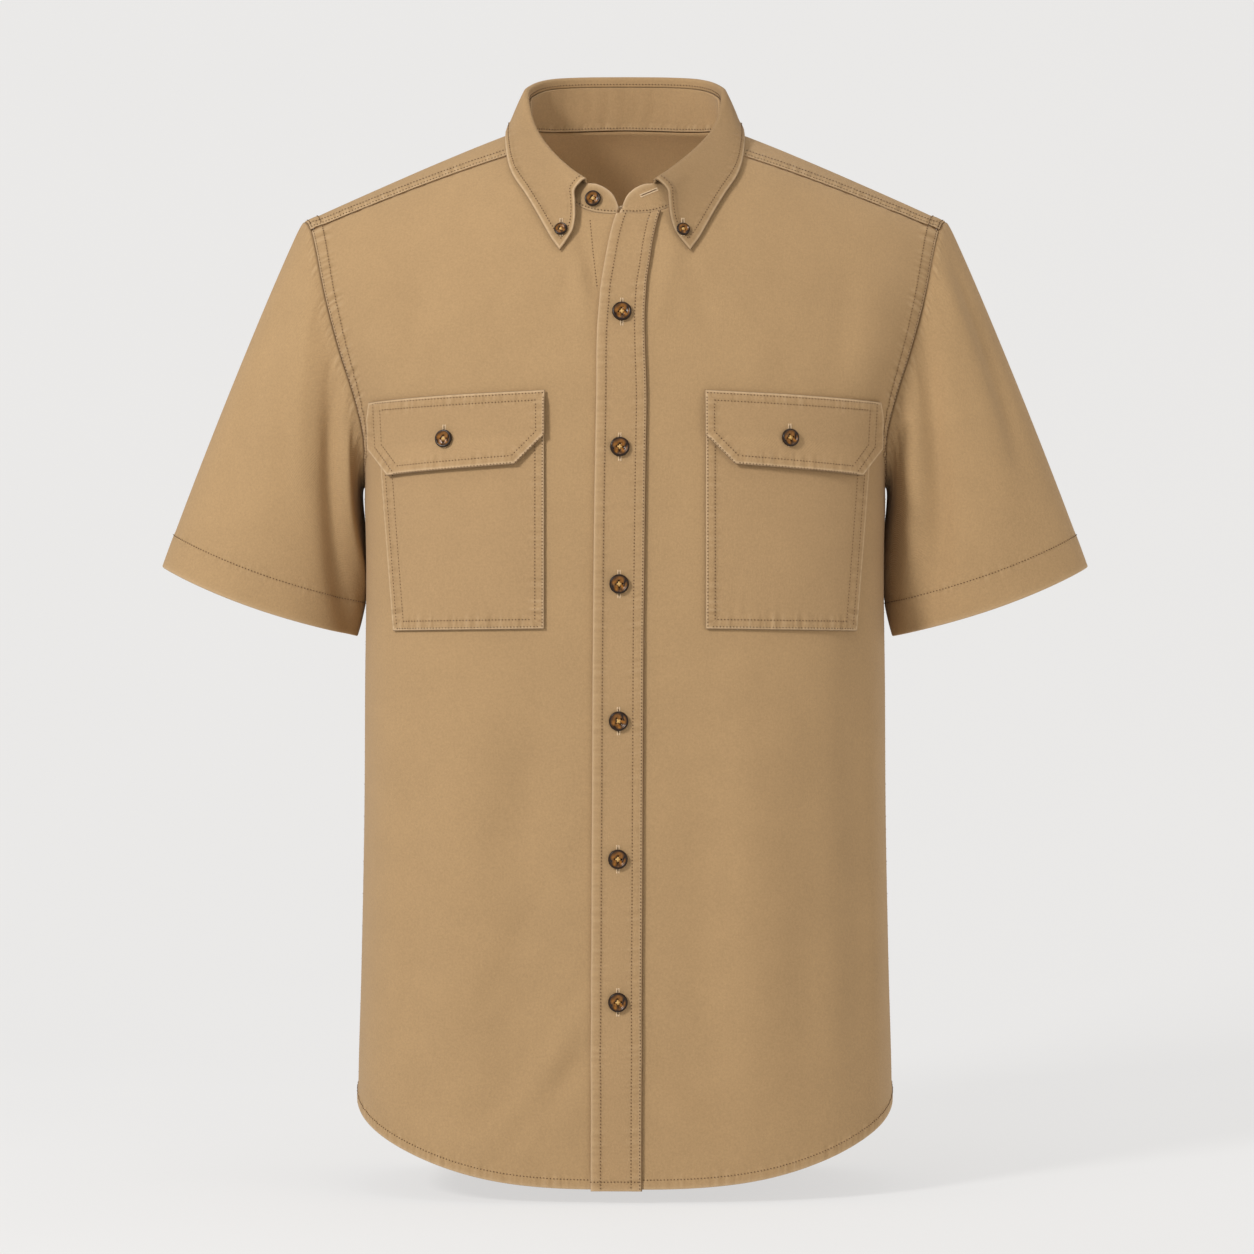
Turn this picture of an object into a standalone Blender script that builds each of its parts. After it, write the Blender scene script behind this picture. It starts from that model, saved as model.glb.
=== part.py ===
"""A short-sleeved work shirt in cotton twill, in the shape it has when worn, with nobody in it.

Metres, +Z up, and the front faces -Y. The wearer's right side is at -X. The origin is midway
between the wearer's shoulders, where the yoke rests on them. Every panel is a wall of cloth
that follows one form, the shirt's own outline worked out from the sizes below, and whatever
is sewn on a panel takes its points from that form and lies a little further out.
"""

import math

import bmesh
import bpy
import numpy as np
from mathutils import Vector
from mathutils.bvhtree import BVHTree

# Cloth
PLY = 0.0016
SEAM_GAP = 0.0003
HALF_GAP = SEAM_GAP / 2
SEAM_STRIP = 0.012  # the narrow column beside a seam, as a share of the panel's width

# The body, half widths and depths from the middle of the wearer
CHEST_HALF_WIDTH = 0.1992
HEM_HALF_WIDTH = 0.2043
FRONT_DEPTH = 0.125
BACK_DEPTH = 0.120
SECTION_POWER = 3.0
FRONT_ROUNDING = 0.352
BACK_ROUNDING = 0.22

# Heights
RIDGE_TOP = 0.0862
RIDGE_SLOPE = 0.4649
RIDGE_SOFTENING = 0.065  # how widely the two shoulder slopes blend at the middle of the neck
SHOULDER_TIP_Z = -0.0321
ARMPIT_Z = -0.235
FRONT_HEM_Z = -0.7602
BACK_HEM_Z = -0.7700
SIDE_HEM_Z = -0.7020
HEM_CURVE = 1.5
BACK_YOKE_Z = -0.062

# The armhole, an egg shape in the side view
ARMHOLE_FRONT = 0.051
ARMHOLE_BACK = 0.058
ARMHOLE_FRONT_EGG = 0.28
ARMHOLE_BACK_EGG = 0.15
ARMHOLE_MIDDLE = (SHOULDER_TIP_Z + ARMPIT_Z) / 2
ARMHOLE_HALF_HEIGHT = (SHOULDER_TIP_Z - ARMPIT_Z) / 2
YOKE_FRONT_KAPPA = math.radians(22.5)
YOKE_BACK_KAPPA = -math.acos((BACK_YOKE_Z - ARMHOLE_MIDDLE) / ARMHOLE_HALF_HEIGHT)

# The neckline
NECK_HALF_WIDTH = 0.077
NECK_FRONT = 0.0835
NECK_BACK = 0.0410
NECK_FRONT_POWER = 2.6
YOKE_FRONT_PSI = math.radians(115)
JOIN_X = 0.008  # where the two fronts meet, under the placket
JOIN_HALF_GAP = 0.0005

# Steps of the panels, shared by the edges that meet at a seam
FRONT_COLUMNS = 12
FRONT_LOWER_ROWS = 18
FRONT_OPEN_ROWS = 7
FRONT_NECK_STEPS = (0.11, 0.22, 0.33, 0.44, 0.55, 0.66, 0.77, 0.88, 0.97, 1.0)
ARMHOLE_AT_PIT = 0.60  # how far up the armhole the front is when its middle reaches the neck
YOKE_SHOULDER_STEPS = (0.0, 0.03, 0.18, 0.34, 0.50, 0.66, 0.83, 1.0)
YOKE_BACK_STEPS = 8
YOKE_CORNER_PSI = math.radians(58)
BACK_LOWER_ROWS = 15
BACK_UPPER_STEPS = (0.0, 0.17, 0.34, 0.51, 0.68, 0.85, 0.98, 1.0)
BACK_HALF_COLUMNS = 11
FORM_STEP = 0.002  # between the places a normal is worked out from
ROUNDS = 20  # of working out a place on the form from a guess
HALVINGS = 40  # of the span searched for a half width
FOLD_OVERRUN = 0.25  # how far past its two ends a fold still shows, as a share of its length
FOLD_EASE = 0.5  # the share of its length over which a fold comes up and dies out

# The placket, 38 mm wide; its free edge moves to the wearer's left above the first button
PLACKET_WIDTH = 0.0381
PLACKET_PLY = 0.0018
PLACKET_LIFT = 0.0006
PLACKET_ROWS_DOWN = 27
PLACKET_COLUMNS_ACROSS = 3
PLACKET_ROW_SPREAD = 1.15  # above 1 the rows lie closer together near the neck
PLACKET_TOP_SHARE = 0.86  # the width at its top, as a share of the full one
PLACKET_BELOW_NECK = 0.0006
PLACKET_BELOW_HEM = 0.0012

# Patch pockets and flaps
POCKET_LIFT = 0.0009
POCKET_PLY = 0.0014
FLAP_PLY = 0.0018
FLAP_LIFT = 0.0009
FLAP_SPRING = 0.0016  # how far a flap's lower edge stands off the pocket
FLAP_CLIMB = 0.20  # the share of its height over which a flap climbs onto the pocket
FLAP_CORNER_AT = 0.58  # how far down a flap its cut corners start
FLAP_STATIONS = (0.0, 0.10, FLAP_CLIMB, 0.39, FLAP_CORNER_AT, 0.79, 1.0)
PATCH_COLUMNS = 9
POCKET_ROWS_DOWN = 8

# Sleeves
SLEEVE_HEAD_SLOPE = math.radians(24)
SLEEVE_LIP = 0.0015  # the straight start of a sleeve beside its seam
SLEEVE_STATIONS = (-1, 0.0, 0.08, 0.20, 0.36, 0.54, 0.75, 1.0)
HEAD_REACH_TOP = 0.005  # how far a sleeve holds the seam's direction, on top
HEAD_REACH_FRONT = 0.020  # and at the front and back
CUFF_REACH_UNDER = 0.036  # how far up from the cuff it hangs straight, under the arm
CUFF_REACH_TOP = 0.100
CUFF_CENTRE = (0.2834, 0.0, -0.3236)
CUFF_HALF_WIDTH = 0.0769
CUFF_HALF_DEPTH = 0.0520
CUFF_TILT = math.radians(19.6)
CUFF_DROP = 0.0052  # how much lower the cuff hangs at front and back than at its sides

# Collar
STAND_PLY = 0.0020
LEAF_PLY = 0.0017
ROLL_RADIUS = 0.0027
ROLL_END_RADIUS = 0.0025  # the fold is pressed flatter where the leaf ends
ROLL_EASE_PSI = 135.0  # from here on the roll gets tighter
ROLL_DEGREES = (0, 45, 90, 135)
LEAF_GUIDE_SHARE = 0.45  # where the leaf's fall bulges, between its roll and its edge
LEAF_GUIDE_OUT = 0.0012
LEAF_GUIDE_UP = 0.0015
LEAF_LIFT = 0.0011
LEAF_END_PSI = 160.0
NECK_TURN = 1.6  # degrees that the stand's ends have slid towards the wearer's right
STAND_REACH = 179.83  # degrees from the back of the neck to either end
STAND_GAP = 0.0004
STAND_UPRIGHT = 0.15  # the share of its height that the stand rises before it leans in
STAND_RISES = (0.0, 0.22, 0.60, 1.0)
STAND_TURN_STEP = 0.008  # columns nearer than this to a fixed one are left out
OPEN_NECK_SHIFT = -0.0035
SLIDE_START_PSI = 105.0  # from here to the leaf's ends the neck slides by that shift
SLIDE_SPAN = 50.0

CLOTH_COLOUR = (0.497, 0.323, 0.165)
HORN_COLOUR = (0.075, 0.032, 0.012)

# Half width of the form from the side seam up to the shoulder tip
WIDTH_COLUMNS = ("z", "half_width")
WIDTH_ROWS = (
    (-0.800, HEM_HALF_WIDTH),
    (-0.760, HEM_HALF_WIDTH),
    (-0.700, HEM_HALF_WIDTH),
    (-0.600, 0.2018),
    (-0.480, 0.1996),
    (-0.400, CHEST_HALF_WIDTH),
    (-0.260, CHEST_HALF_WIDTH),
    (-0.200, 0.2030),
    (-0.170, 0.2140),
    (-0.130, 0.2310),
    (-0.090, 0.2430),
    (-0.050, 0.2490),
    (0.000, 0.2530),
    (0.090, 0.2530),
)

# The largest soft folds of the body: a trough has a height below zero
FOLD_COLUMNS = ("side", "x0", "z0", "x1", "z1", "width", "height")
FOLD_ROWS = (
    ("front", -0.195, -0.075, -0.178, -0.165, 0.020, 0.0030),
    ("front", 0.197, -0.080, 0.180, -0.170, 0.020, 0.0030),
    ("front", -0.050, -0.595, -0.125, -0.700, 0.022, -0.0022),
    ("front", -0.040, -0.690, -0.105, -0.745, 0.022, 0.0018),
    ("front", 0.150, -0.420, 0.162, -0.690, 0.030, -0.0030),
    ("front", 0.105, -0.450, 0.110, -0.720, 0.034, 0.0022),
    ("front", -0.140, -0.400, -0.150, -0.640, 0.034, 0.0020),
    ("front", -0.058, -0.085, -0.072, -0.145, 0.018, -0.0016),
    ("front", 0.060, -0.085, 0.076, -0.145, 0.018, -0.0016),
    ("back", -0.160, -0.120, -0.110, -0.300, 0.030, 0.0035),
    ("back", 0.162, -0.120, 0.108, -0.310, 0.030, 0.0035),
    ("back", -0.070, -0.330, -0.085, -0.690, 0.036, -0.0035),
    ("back", 0.060, -0.300, 0.082, -0.670, 0.036, -0.0032),
    ("back", -0.005, -0.260, 0.004, -0.720, 0.036, 0.0030),
    ("back", -0.140, -0.420, -0.150, -0.700, 0.032, 0.0026),
    ("back", 0.142, -0.400, 0.150, -0.690, 0.032, 0.0026),
)

# Soft folds of a sleeve: kappa is 0 on top, 90 at the front and 180 under the arm
SLEEVE_FOLD_COLUMNS = ("kappa0", "along0", "kappa1", "along1", "width", "height")
SLEEVE_FOLD_ROWS = (
    (95, 0.10, 128, 0.92, 15, -0.0050),
    (122, 0.18, 150, 0.85, 13, 0.0030),
    (62, 0.12, 78, 0.70, 14, 0.0025),
    (-100, 0.12, -124, 0.90, 16, -0.0045),
    (-60, 0.15, -75, 0.80, 15, 0.0025),
    (180, 0.30, 180, 1.30, 40, 0.0032),
)

# Where the collar folds over, on one side; psi is 0 at the back and 180 at the front
FOLD_LINE_COLUMNS = ("psi", "x", "y", "z")
FOLD_LINE_ROWS = (
    (0, 0.0000, 0.0360, 0.0845),
    (25, 0.0350, 0.0335, 0.0838),
    (50, 0.0585, 0.0225, 0.0806),
    (70, 0.0695, 0.0080, 0.0748),
    (90, 0.0735, -0.0090, 0.0655),
    (110, 0.0685, -0.0280, 0.0420),
    (135, 0.0510, -0.0510, 0.0165),
    (150, 0.0350, -0.0670, 0.0010),
    (LEAF_END_PSI, 0.0250, -0.0765, -0.0068),
)

# The stand's top edge: how far below the fold it is sewn, then the open ends past the leaf
STAND_DROP_COLUMNS = ("psi", "drop")
STAND_DROP_ROWS = (
    (0, 0.0082),
    (70, 0.0080),
    (110, 0.0070),
    (135, 0.0058),
    (150, 0.0040),
    (LEAF_END_PSI, 0.0032),
)
STAND_END_COLUMNS = ("psi", "x", "y", "z")
STAND_END_ROWS = (
    (LEAF_END_PSI, 0.0250, -0.0765, -0.0100),
    (166, 0.0180, -0.0790, -0.0108),
    (171, 0.0102, -0.0808, -0.0146),
    (176, 0.0044, -0.0822, -0.0208),
    (180, 0.0008, -0.0833, -0.0296),
)

# The leaf's outer edge as seen from above, on one side
LEAF_EDGE_COLUMNS = ("psi", "x", "y")
LEAF_EDGE_ROWS = (
    (0, 0.0000, 0.0530),
    (25, 0.0390, 0.0505),
    (50, 0.0680, 0.0380),
    (70, 0.0840, 0.0195),
    (90, 0.0897, -0.0070),
    (105, 0.0903, -0.0345),
    (120, 0.0862, -0.0545),
    (135, 0.0742, -0.0695),
    (150, 0.0570, -0.0858),
    (LEAF_END_PSI, 0.0485, -0.0912),
)
# How far the leaf's front edge bows towards the middle, from the fold down to the point
FRONT_EDGE_COLUMNS = ("down", "bow")
FRONT_EDGE_ROWS = (
    (0.00, -0.0010),
    (0.15, -0.0045),
    (0.35, -0.0010),
    (0.57, 0.0033),
    (0.75, 0.0048),
    (0.90, 0.0024),
    (1.00, 0.0000),
)
FRONT_EDGE_FADE = 26.0  # degrees round the neck over which that bow dies out

# The placket's free edge
PLACKET_COLUMNS = ("z", "edge_x")
PLACKET_ROWS = (
    (-0.800, -0.0254),
    (-0.760, -0.0254),
    (-0.450, -0.0243),
    (-0.340, -0.0237),
    (-0.180, -0.0215),
    (-0.105, -0.0196),
    (-0.070, -0.0150),
    (-0.040, -0.0085),
    (-0.030, -0.0050),
)
PLACKET_TOP_Z = -0.0360
PLACKET_NECK = 0.16  # the length below the neck over which the placket widens

# A pocket and its flap on the wearer's right; the left ones mirror them
POCKET_COLUMNS = ("corner", "x", "z")
POCKET_ROWS = (
    ("top_outer", -0.1850, -0.1885),
    ("top_inner", -0.0595, -0.1845),
    ("bottom_inner", -0.0595, -0.3455),
    ("bottom_outer", -0.1722, -0.3470),
)
FLAP_COLUMNS = ("corner", "x", "z")
FLAP_ROWS = (
    ("top_outer", -0.1915, -0.1745),
    ("top_inner", -0.0590, -0.1682),
    ("side_inner", -0.0590, -0.2020),
    ("bottom_inner", -0.0808, -0.2240),
    ("bottom_outer", -0.1740, -0.2310),
    ("side_outer", -0.1900, -0.2095),
)

# Buttons, by the node's name: where each sits in the front view, and its diameter
BUTTON_COLUMNS = ("node", "carrier", "x", "z", "diameter")
BUTTON_ROWS = (
    ("button_front_1", "placket", -0.0023, -0.1094, 0.0146),
    ("button_front_2", "placket", -0.0038, -0.2106, 0.0146),
    ("button_front_3", "placket", -0.0043, -0.3122, 0.0146),
    ("button_front_4", "placket", -0.0047, -0.4136, 0.0146),
    ("button_front_5", "placket", -0.0052, -0.5157, 0.0146),
    ("button_front_6", "placket", -0.0052, -0.6215, 0.0146),
    ("button_neck", "collar_stand", -0.0240, -0.0225, 0.0122),
    ("button_collar_right", "collar_leaf", -0.0478, -0.0465, 0.0102),
    ("button_collar_left", "collar_leaf", 0.0434, -0.0465, 0.0102),
    ("button_flap_right", "flap_right", -0.1345, -0.2040, 0.0135),
    ("button_flap_left", "flap_left", 0.1225, -0.2035, 0.0135),
)
BUTTON_SIDES = 16
BUTTON_FOOT = 0.39  # of the diameter, how far from its middle a button rests on the cloth
# A button's turned profile, in shares of its radius
BUTTON_PROFILE_COLUMNS = ("radius", "height")
BUTTON_PROFILE_ROWS = (
    (0.00, 0.24),
    (0.50, 0.26),
    (0.68, 0.42),
    (0.90, 0.40),
    (1.00, 0.24),
    (0.78, 0.00),
    (0.00, 0.00),
)


def column(rows, columns, name):
    """One named column of a table."""
    return [row[columns.index(name)] for row in rows]


def read_table(rows, columns, key, value, at):
    """The value column where the key column equals at, on a smooth curve through the rows."""
    keys = np.array(column(rows, columns, key), float)
    values = np.array(column(rows, columns, value), float)
    at = min(max(at, keys[0]), keys[-1])
    slopes = np.gradient(values, keys)
    i = min(int(np.searchsorted(keys, at, side="right")) - 1, len(keys) - 2)
    span = keys[i + 1] - keys[i]
    t = (at - keys[i]) / span
    rise = (3 - 2 * t) * t * t
    bend = t * (1 - t)
    return float(
        values[i] * (1 - rise)
        + values[i + 1] * rise
        + span * bend * (slopes[i] * (1 - t) - slopes[i + 1] * t)
    )


def smooth_step(t):
    t = min(max(t, 0.0), 1.0)
    return t * t * (3 - 2 * t)


def mix(a, b, t):
    return a + (b - a) * t


# The section of the body, one quarter of it, measured off once as shares of its length
ANGLES = np.linspace(0.0, math.pi / 2, 721)
QUARTER_X = np.sin(ANGLES) ** (2 / SECTION_POWER)
QUARTER_Y = np.cos(ANGLES) ** (2 / SECTION_POWER)
STEPS = np.hypot(np.diff(QUARTER_X) * CHEST_HALF_WIDTH, np.diff(QUARTER_Y) * FRONT_DEPTH)
LENGTHS = np.concatenate([[0.0], np.cumsum(STEPS)])
QUARTER_LENGTH = LENGTHS[-1]
SHARES = LENGTHS / QUARTER_LENGTH


def share_to_x(share):
    """x over the half width, at a share of the way round from the centre to the side."""
    return math.copysign(float(np.interp(abs(share), SHARES, QUARTER_X)), share)


def x_to_share(ratio):
    return math.copysign(float(np.interp(abs(ratio), QUARTER_X, SHARES)), ratio)


def half_width(z):
    return read_table(WIDTH_ROWS, WIDTH_COLUMNS, "z", "half_width", z)


def ridge_z(x):
    """Height of the shoulder line that front and back share."""
    return RIDGE_TOP - RIDGE_SLOPE * math.hypot(x, RIDGE_SOFTENING)


def side_share(x, z):
    """How much of the full depth is left at x, from 1 at the centre to 0 at the side."""
    ratio = min(abs(x) / half_width(z), 1.0)
    return (1 - ratio**SECTION_POWER) ** (1 / SECTION_POWER)


def fold_ends(along):
    """How much of a fold shows at a share of its length."""
    return smooth_step((along + FOLD_OVERRUN) / FOLD_EASE) * smooth_step((1 + FOLD_OVERRUN - along) / FOLD_EASE)


def soft_fold(side, x, z):
    """Height of the drape above the plain form."""
    height = 0.0
    for row in FOLD_ROWS:
        fold = dict(zip(FOLD_COLUMNS, row))
        if fold["side"] != side:
            continue
        run = np.array([fold["x1"] - fold["x0"], fold["z1"] - fold["z0"]])
        away = np.array([x - fold["x0"], z - fold["z0"]])
        along = float(away @ run / (run @ run))
        across = float(np.linalg.norm(away - run * along)) / fold["width"]
        height += fold["height"] * fold_ends(along) * math.exp(-across * across)
    return height


def form_y(side, x, z):
    """Depth of the form at a place in the front or back view."""
    depth, rounding = (FRONT_DEPTH, FRONT_ROUNDING) if side == "front" else (BACK_DEPTH, BACK_ROUNDING)
    below = min(max(ridge_z(x) - z, 0.0), rounding)
    rise = math.sqrt(1 - (1 - below / rounding) ** 2)
    flat = side_share(x, z)
    y = depth * flat * rise + soft_fold(side, x, z) * min(flat * 2, 1.0) * min(rise * 2, 1.0)
    return -y if side == "front" else y


def form_point(side, x, z):
    return Vector((x, form_y(side, x, z), z))


def form_normal(side, x, z):
    """The way out of the body, from three nearby points of the form."""
    inward = -math.copysign(FORM_STEP, x)
    here = form_point(side, x, z)
    along_x = form_point(side, x + inward, z) - here
    along_z = form_point(side, x, z - FORM_STEP) - here
    normal = along_x.cross(along_z).normalized()
    wanted = -1.0 if side == "front" else 1.0
    return normal if normal.y * wanted > 0 else -normal


def over_shoulder(x, y):
    """Height of the form above a place in the view from the top."""
    depth, rounding = (FRONT_DEPTH, FRONT_ROUNDING) if y < 0 else (BACK_DEPTH, BACK_ROUNDING)
    z = ridge_z(x)
    for _ in range(ROUNDS):
        rise = min(abs(y) / (depth * max(side_share(x, z), 1e-3)), 0.999)
        z = ridge_z(x) - rounding * (1 - math.sqrt(1 - rise * rise))
    return z


def side_x(y, z):
    """Half width of the form at a place in the side view."""
    side = "front" if y < 0 else "back"
    near, far = 0.10, half_width(z)
    for _ in range(HALVINGS):
        middle = (near + far) / 2
        if abs(form_y(side, middle, z)) > abs(y):
            near = middle
        else:
            far = middle
    return (near + far) / 2


def armhole_point(kappa):
    """A point of the armhole on the +X side: kappa is 0 on top, and grows towards the front."""
    z = ARMHOLE_MIDDLE + ARMHOLE_HALF_HEIGHT * math.cos(kappa)
    if math.sin(kappa) >= 0:
        y = -ARMHOLE_FRONT * math.sin(kappa) * (1 - ARMHOLE_FRONT_EGG * math.cos(kappa))
    else:
        y = -ARMHOLE_BACK * math.sin(kappa) * (1 - ARMHOLE_BACK_EGG * math.cos(kappa))
    if abs(y) < 1e-6:
        run = (RIDGE_TOP - z) / RIDGE_SLOPE
        return Vector((min(math.sqrt(run * run - RIDGE_SOFTENING**2), half_width(z)), 0.0, z))
    return Vector((side_x(y, z), y, z))


def neck_point(psi):
    """A point of the neckline: psi is 0 at the back, pi at the front, and positive at +X."""
    across, along = math.sin(psi), math.cos(psi)
    if along > 0:
        x, y = NECK_HALF_WIDTH * across, NECK_BACK * along
    else:
        power = 2 / NECK_FRONT_POWER
        x = math.copysign(NECK_HALF_WIDTH * abs(across) ** power, across)
        y = -NECK_FRONT * abs(along) ** power
    return form_point("front" if y < 0 else "back", x, over_shoulder(x, y))


def hem_z(side, share):
    """The shirt-tail hem, level in the middle and rising to the side seam."""
    low = FRONT_HEM_Z if side == "front" else BACK_HEM_Z
    rise = (1 - math.cos(math.pi * min(abs(share), 1.0) ** HEM_CURVE)) / 2
    return mix(low, SIDE_HEM_Z, rise)


def across(side, inner, outer, share):
    """A point of the form between two others, at even steps round the section."""
    start = x_to_share(inner.x / half_width(inner.z))
    end = x_to_share(outer.x / half_width(outer.z))
    z = mix(inner.z, outer.z, share)
    x = half_width(z) * share_to_x(mix(start, end, share))
    return form_point(side, x, z)


def mirrored(point):
    return Vector((-point.x, point.y, point.z))


def even_shares(count, strip=0.0):
    """Even steps from 0 to 1, with a narrow last one where strip is given."""
    shares = [i / count * (1 - strip) for i in range(count + 1)]
    return shares + [1.0] if strip else shares


def front_rises():
    """How far up the armhole each row of a front ends, from the armpit to the yoke seam."""
    rises = [ARMHOLE_AT_PIT * i / FRONT_OPEN_ROWS for i in range(FRONT_OPEN_ROWS + 1)]
    return rises + [mix(ARMHOLE_AT_PIT, 1.0, step) for step in FRONT_NECK_STEPS]


def armhole_kappas():
    """Where the panels' rows end round the armhole, once round from the armpit."""
    front = [mix(math.pi, YOKE_FRONT_KAPPA, rise) for rise in front_rises()]
    top = [mix(YOKE_FRONT_KAPPA, YOKE_BACK_KAPPA, step) for step in YOKE_SHOULDER_STEPS]
    behind = [mix(-math.pi, YOKE_BACK_KAPPA, step) for step in BACK_UPPER_STEPS]
    return front[:-1] + top[:-1] + behind[:0:-1]


def join_psi(wearer_side):
    """Where the front's neckline starts, at the join under the placket."""
    share = (JOIN_X + JOIN_HALF_GAP * wearer_side) / NECK_HALF_WIDTH
    return math.pi - wearer_side * math.asin(share ** (NECK_FRONT_POWER / 2))


def front_psis(wearer_side):
    return [mix(join_psi(wearer_side), YOKE_FRONT_PSI, step) for step in (0.0,) + FRONT_NECK_STEPS]


def yoke_psis():
    """Where the yoke's rows start on the neckline, from its front seam to the back."""
    shoulder = [mix(YOKE_FRONT_PSI, YOKE_CORNER_PSI, step) for step in YOKE_SHOULDER_STEPS]
    return shoulder[:-1] + [YOKE_CORNER_PSI * (1 - i / YOKE_BACK_STEPS) for i in range(YOKE_BACK_STEPS + 1)]


def neckline_psis():
    """Every step of the neckline, in degrees, from the wearer's right front to the left one."""
    right = [-psi for psi in front_psis(-1)[:-1] + yoke_psis()[:-1]]
    left = yoke_psis()[::-1] + front_psis(1)[-2::-1]
    return [math.degrees(psi) for psi in right + left]


def new_object(name, mesh, colour):
    obj = bpy.data.objects.new(name, mesh)
    obj.data.materials.append(colour)
    SHIRT.objects.link(obj)
    return obj


def grid_mesh(name, rows, closed=False):
    """An open sheet through rows of points, with its face towards the outside."""
    mesh = bpy.data.meshes.new(name)
    sheet = bmesh.new()
    grid = [[sheet.verts.new(point) for point in row] for row in rows]
    for low, high in zip(grid, grid[1:]):
        pairs = list(zip(low, low[1:], high[1:], high))
        if closed:
            pairs.append((low[-1], low[0], high[0], high[-1]))
        for corners in pairs:
            sheet.faces.new(corners)
    sheet.to_mesh(mesh)
    sheet.free()
    mesh.shade_smooth()
    return mesh


def sheet_object(name, rows, ply, material, closed=False):
    """A piece of cloth: the sheet is its outer face, and Solidify gives it the wall inwards."""
    obj = new_object(name, grid_mesh(name, rows, closed), material)
    wall = obj.modifiers.new("Wall", "SOLIDIFY")
    wall.thickness = ply
    wall.offset = -1.0
    wall.use_rim = True
    return obj


def make_material(name, colour, roughness):
    material = bpy.data.materials.new(name)
    material.use_nodes = True
    shader = material.node_tree.nodes["Principled BSDF"]
    shader.inputs["Base Color"].default_value = (*colour, 1.0)
    shader.inputs["Roughness"].default_value = roughness
    shader.inputs["Metallic"].default_value = 0.0
    return material


def yoke_line(psi, outer, share):
    """A point of the yoke between a place on the neckline and one on its outer edge."""
    inner = neck_point(psi)
    angle = mix(shoulder_angle(inner), shoulder_angle(outer), share)
    return shoulder_point(mix(inner.x, outer.x, share), angle)


def seam_offset(share):
    """From where a front's own rows would end to the yoke's front edge, in the front view."""
    outer = armhole_point(YOKE_FRONT_KAPPA)
    seam = yoke_line(YOKE_FRONT_PSI, outer, share)
    end = across("front", neck_point(YOKE_FRONT_PSI), outer, share)
    return seam.x - end.x, seam.z - end.z


def make_front(name, wearer_side):
    """A front from hem to yoke seam. wearer_side is -1 for the wearer's right, 1 for the left."""
    join_x = JOIN_X + JOIN_HALF_GAP * wearer_side
    shares = even_shares(FRONT_COLUMNS, SEAM_STRIP)
    inner_share = x_to_share(join_x * wearer_side / CHEST_HALF_WIDTH)
    rows = []
    for i in range(FRONT_LOWER_ROWS):
        row = []
        for share in shares:
            around = mix(inner_share, 1.0, share)
            z = mix(hem_z("front", around), ARMPIT_Z, i / FRONT_LOWER_ROWS)
            x = half_width(z) * share_to_x(around) * wearer_side if share else join_x
            row.append(form_point("front", x, z))
        rows.append(row)
    psis = front_psis(wearer_side)
    pit = neck_point(psis[0])
    inner_points = []
    for i in range(FRONT_OPEN_ROWS):
        inner_points.append(form_point("front", join_x, mix(ARMPIT_Z, pit.z, i / FRONT_OPEN_ROWS)))
    for psi in psis:
        point = neck_point(psi)
        inner_points.append(point if wearer_side > 0 else mirrored(point))
    for inner, rise in zip(inner_points, front_rises()):
        outer = armhole_point(mix(math.pi, YOKE_FRONT_KAPPA, rise))
        if wearer_side < 0:
            outer = mirrored(outer)
        near_yoke = smooth_step((rise - ARMHOLE_AT_PIT) / (1 - ARMHOLE_AT_PIT))
        row = []
        for share in shares:
            point = across("front", inner, outer, share)
            seam_x, seam_z = seam_offset(share)
            x = point.x + seam_x * near_yoke * wearer_side
            row.append(form_point("front", x, point.z + seam_z * near_yoke))
        rows.append(row)
    rows[-1] = [p - Vector((0, 0, HALF_GAP)) for p in rows[-1]]
    rows = [[p - Vector((0, HALF_GAP, 0)) for p in row] for row in rows]
    return sheet_object(name, turned(rows, wearer_side < 0), PLY, CLOTH)


def turned(rows, turn):
    """The rows the other way along, which turns the sheet's face over."""
    return [list(reversed(row)) for row in rows] if turn else rows


def make_back():
    steps = even_shares(BACK_HALF_COLUMNS, SEAM_STRIP)
    shares = [-s for s in reversed(steps[1:])] + steps
    rows = []
    for i in range(BACK_LOWER_ROWS):
        row = []
        for share in shares:
            z = mix(hem_z("back", share), ARMPIT_Z, i / BACK_LOWER_ROWS)
            row.append(form_point("back", half_width(z) * share_to_x(share), z))
        rows.append(row)
    for step in BACK_UPPER_STEPS:
        outer = armhole_point(mix(-math.pi, YOKE_BACK_KAPPA, step))
        z = outer.z if step < 1 else BACK_YOKE_Z - HALF_GAP
        reach = x_to_share(min(outer.x / half_width(z), 1.0))
        rows.append([form_point("back", half_width(z) * share_to_x(share * reach), z) for share in shares])
    rows = [[p + Vector((0, HALF_GAP, 0)) for p in row] for row in rows]
    return sheet_object("back", turned(rows, True), PLY, CLOTH)


def shoulder_angle(point):
    """How far round the shoulder's hump a point lies: below zero in front, above it behind."""
    rounding = FRONT_ROUNDING if point.y < 0 else BACK_ROUNDING
    below = min(max(ridge_z(point.x) - point.z, 0.0), rounding)
    return math.copysign(math.acos(1 - below / rounding), point.y)


def shoulder_point(x, angle):
    rounding = FRONT_ROUNDING if angle < 0 else BACK_ROUNDING
    z = ridge_z(x) - rounding * (1 - math.cos(angle))
    side = "front" if angle < 0 else "back"
    return Vector((x, form_y(side, x, z), z))


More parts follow.
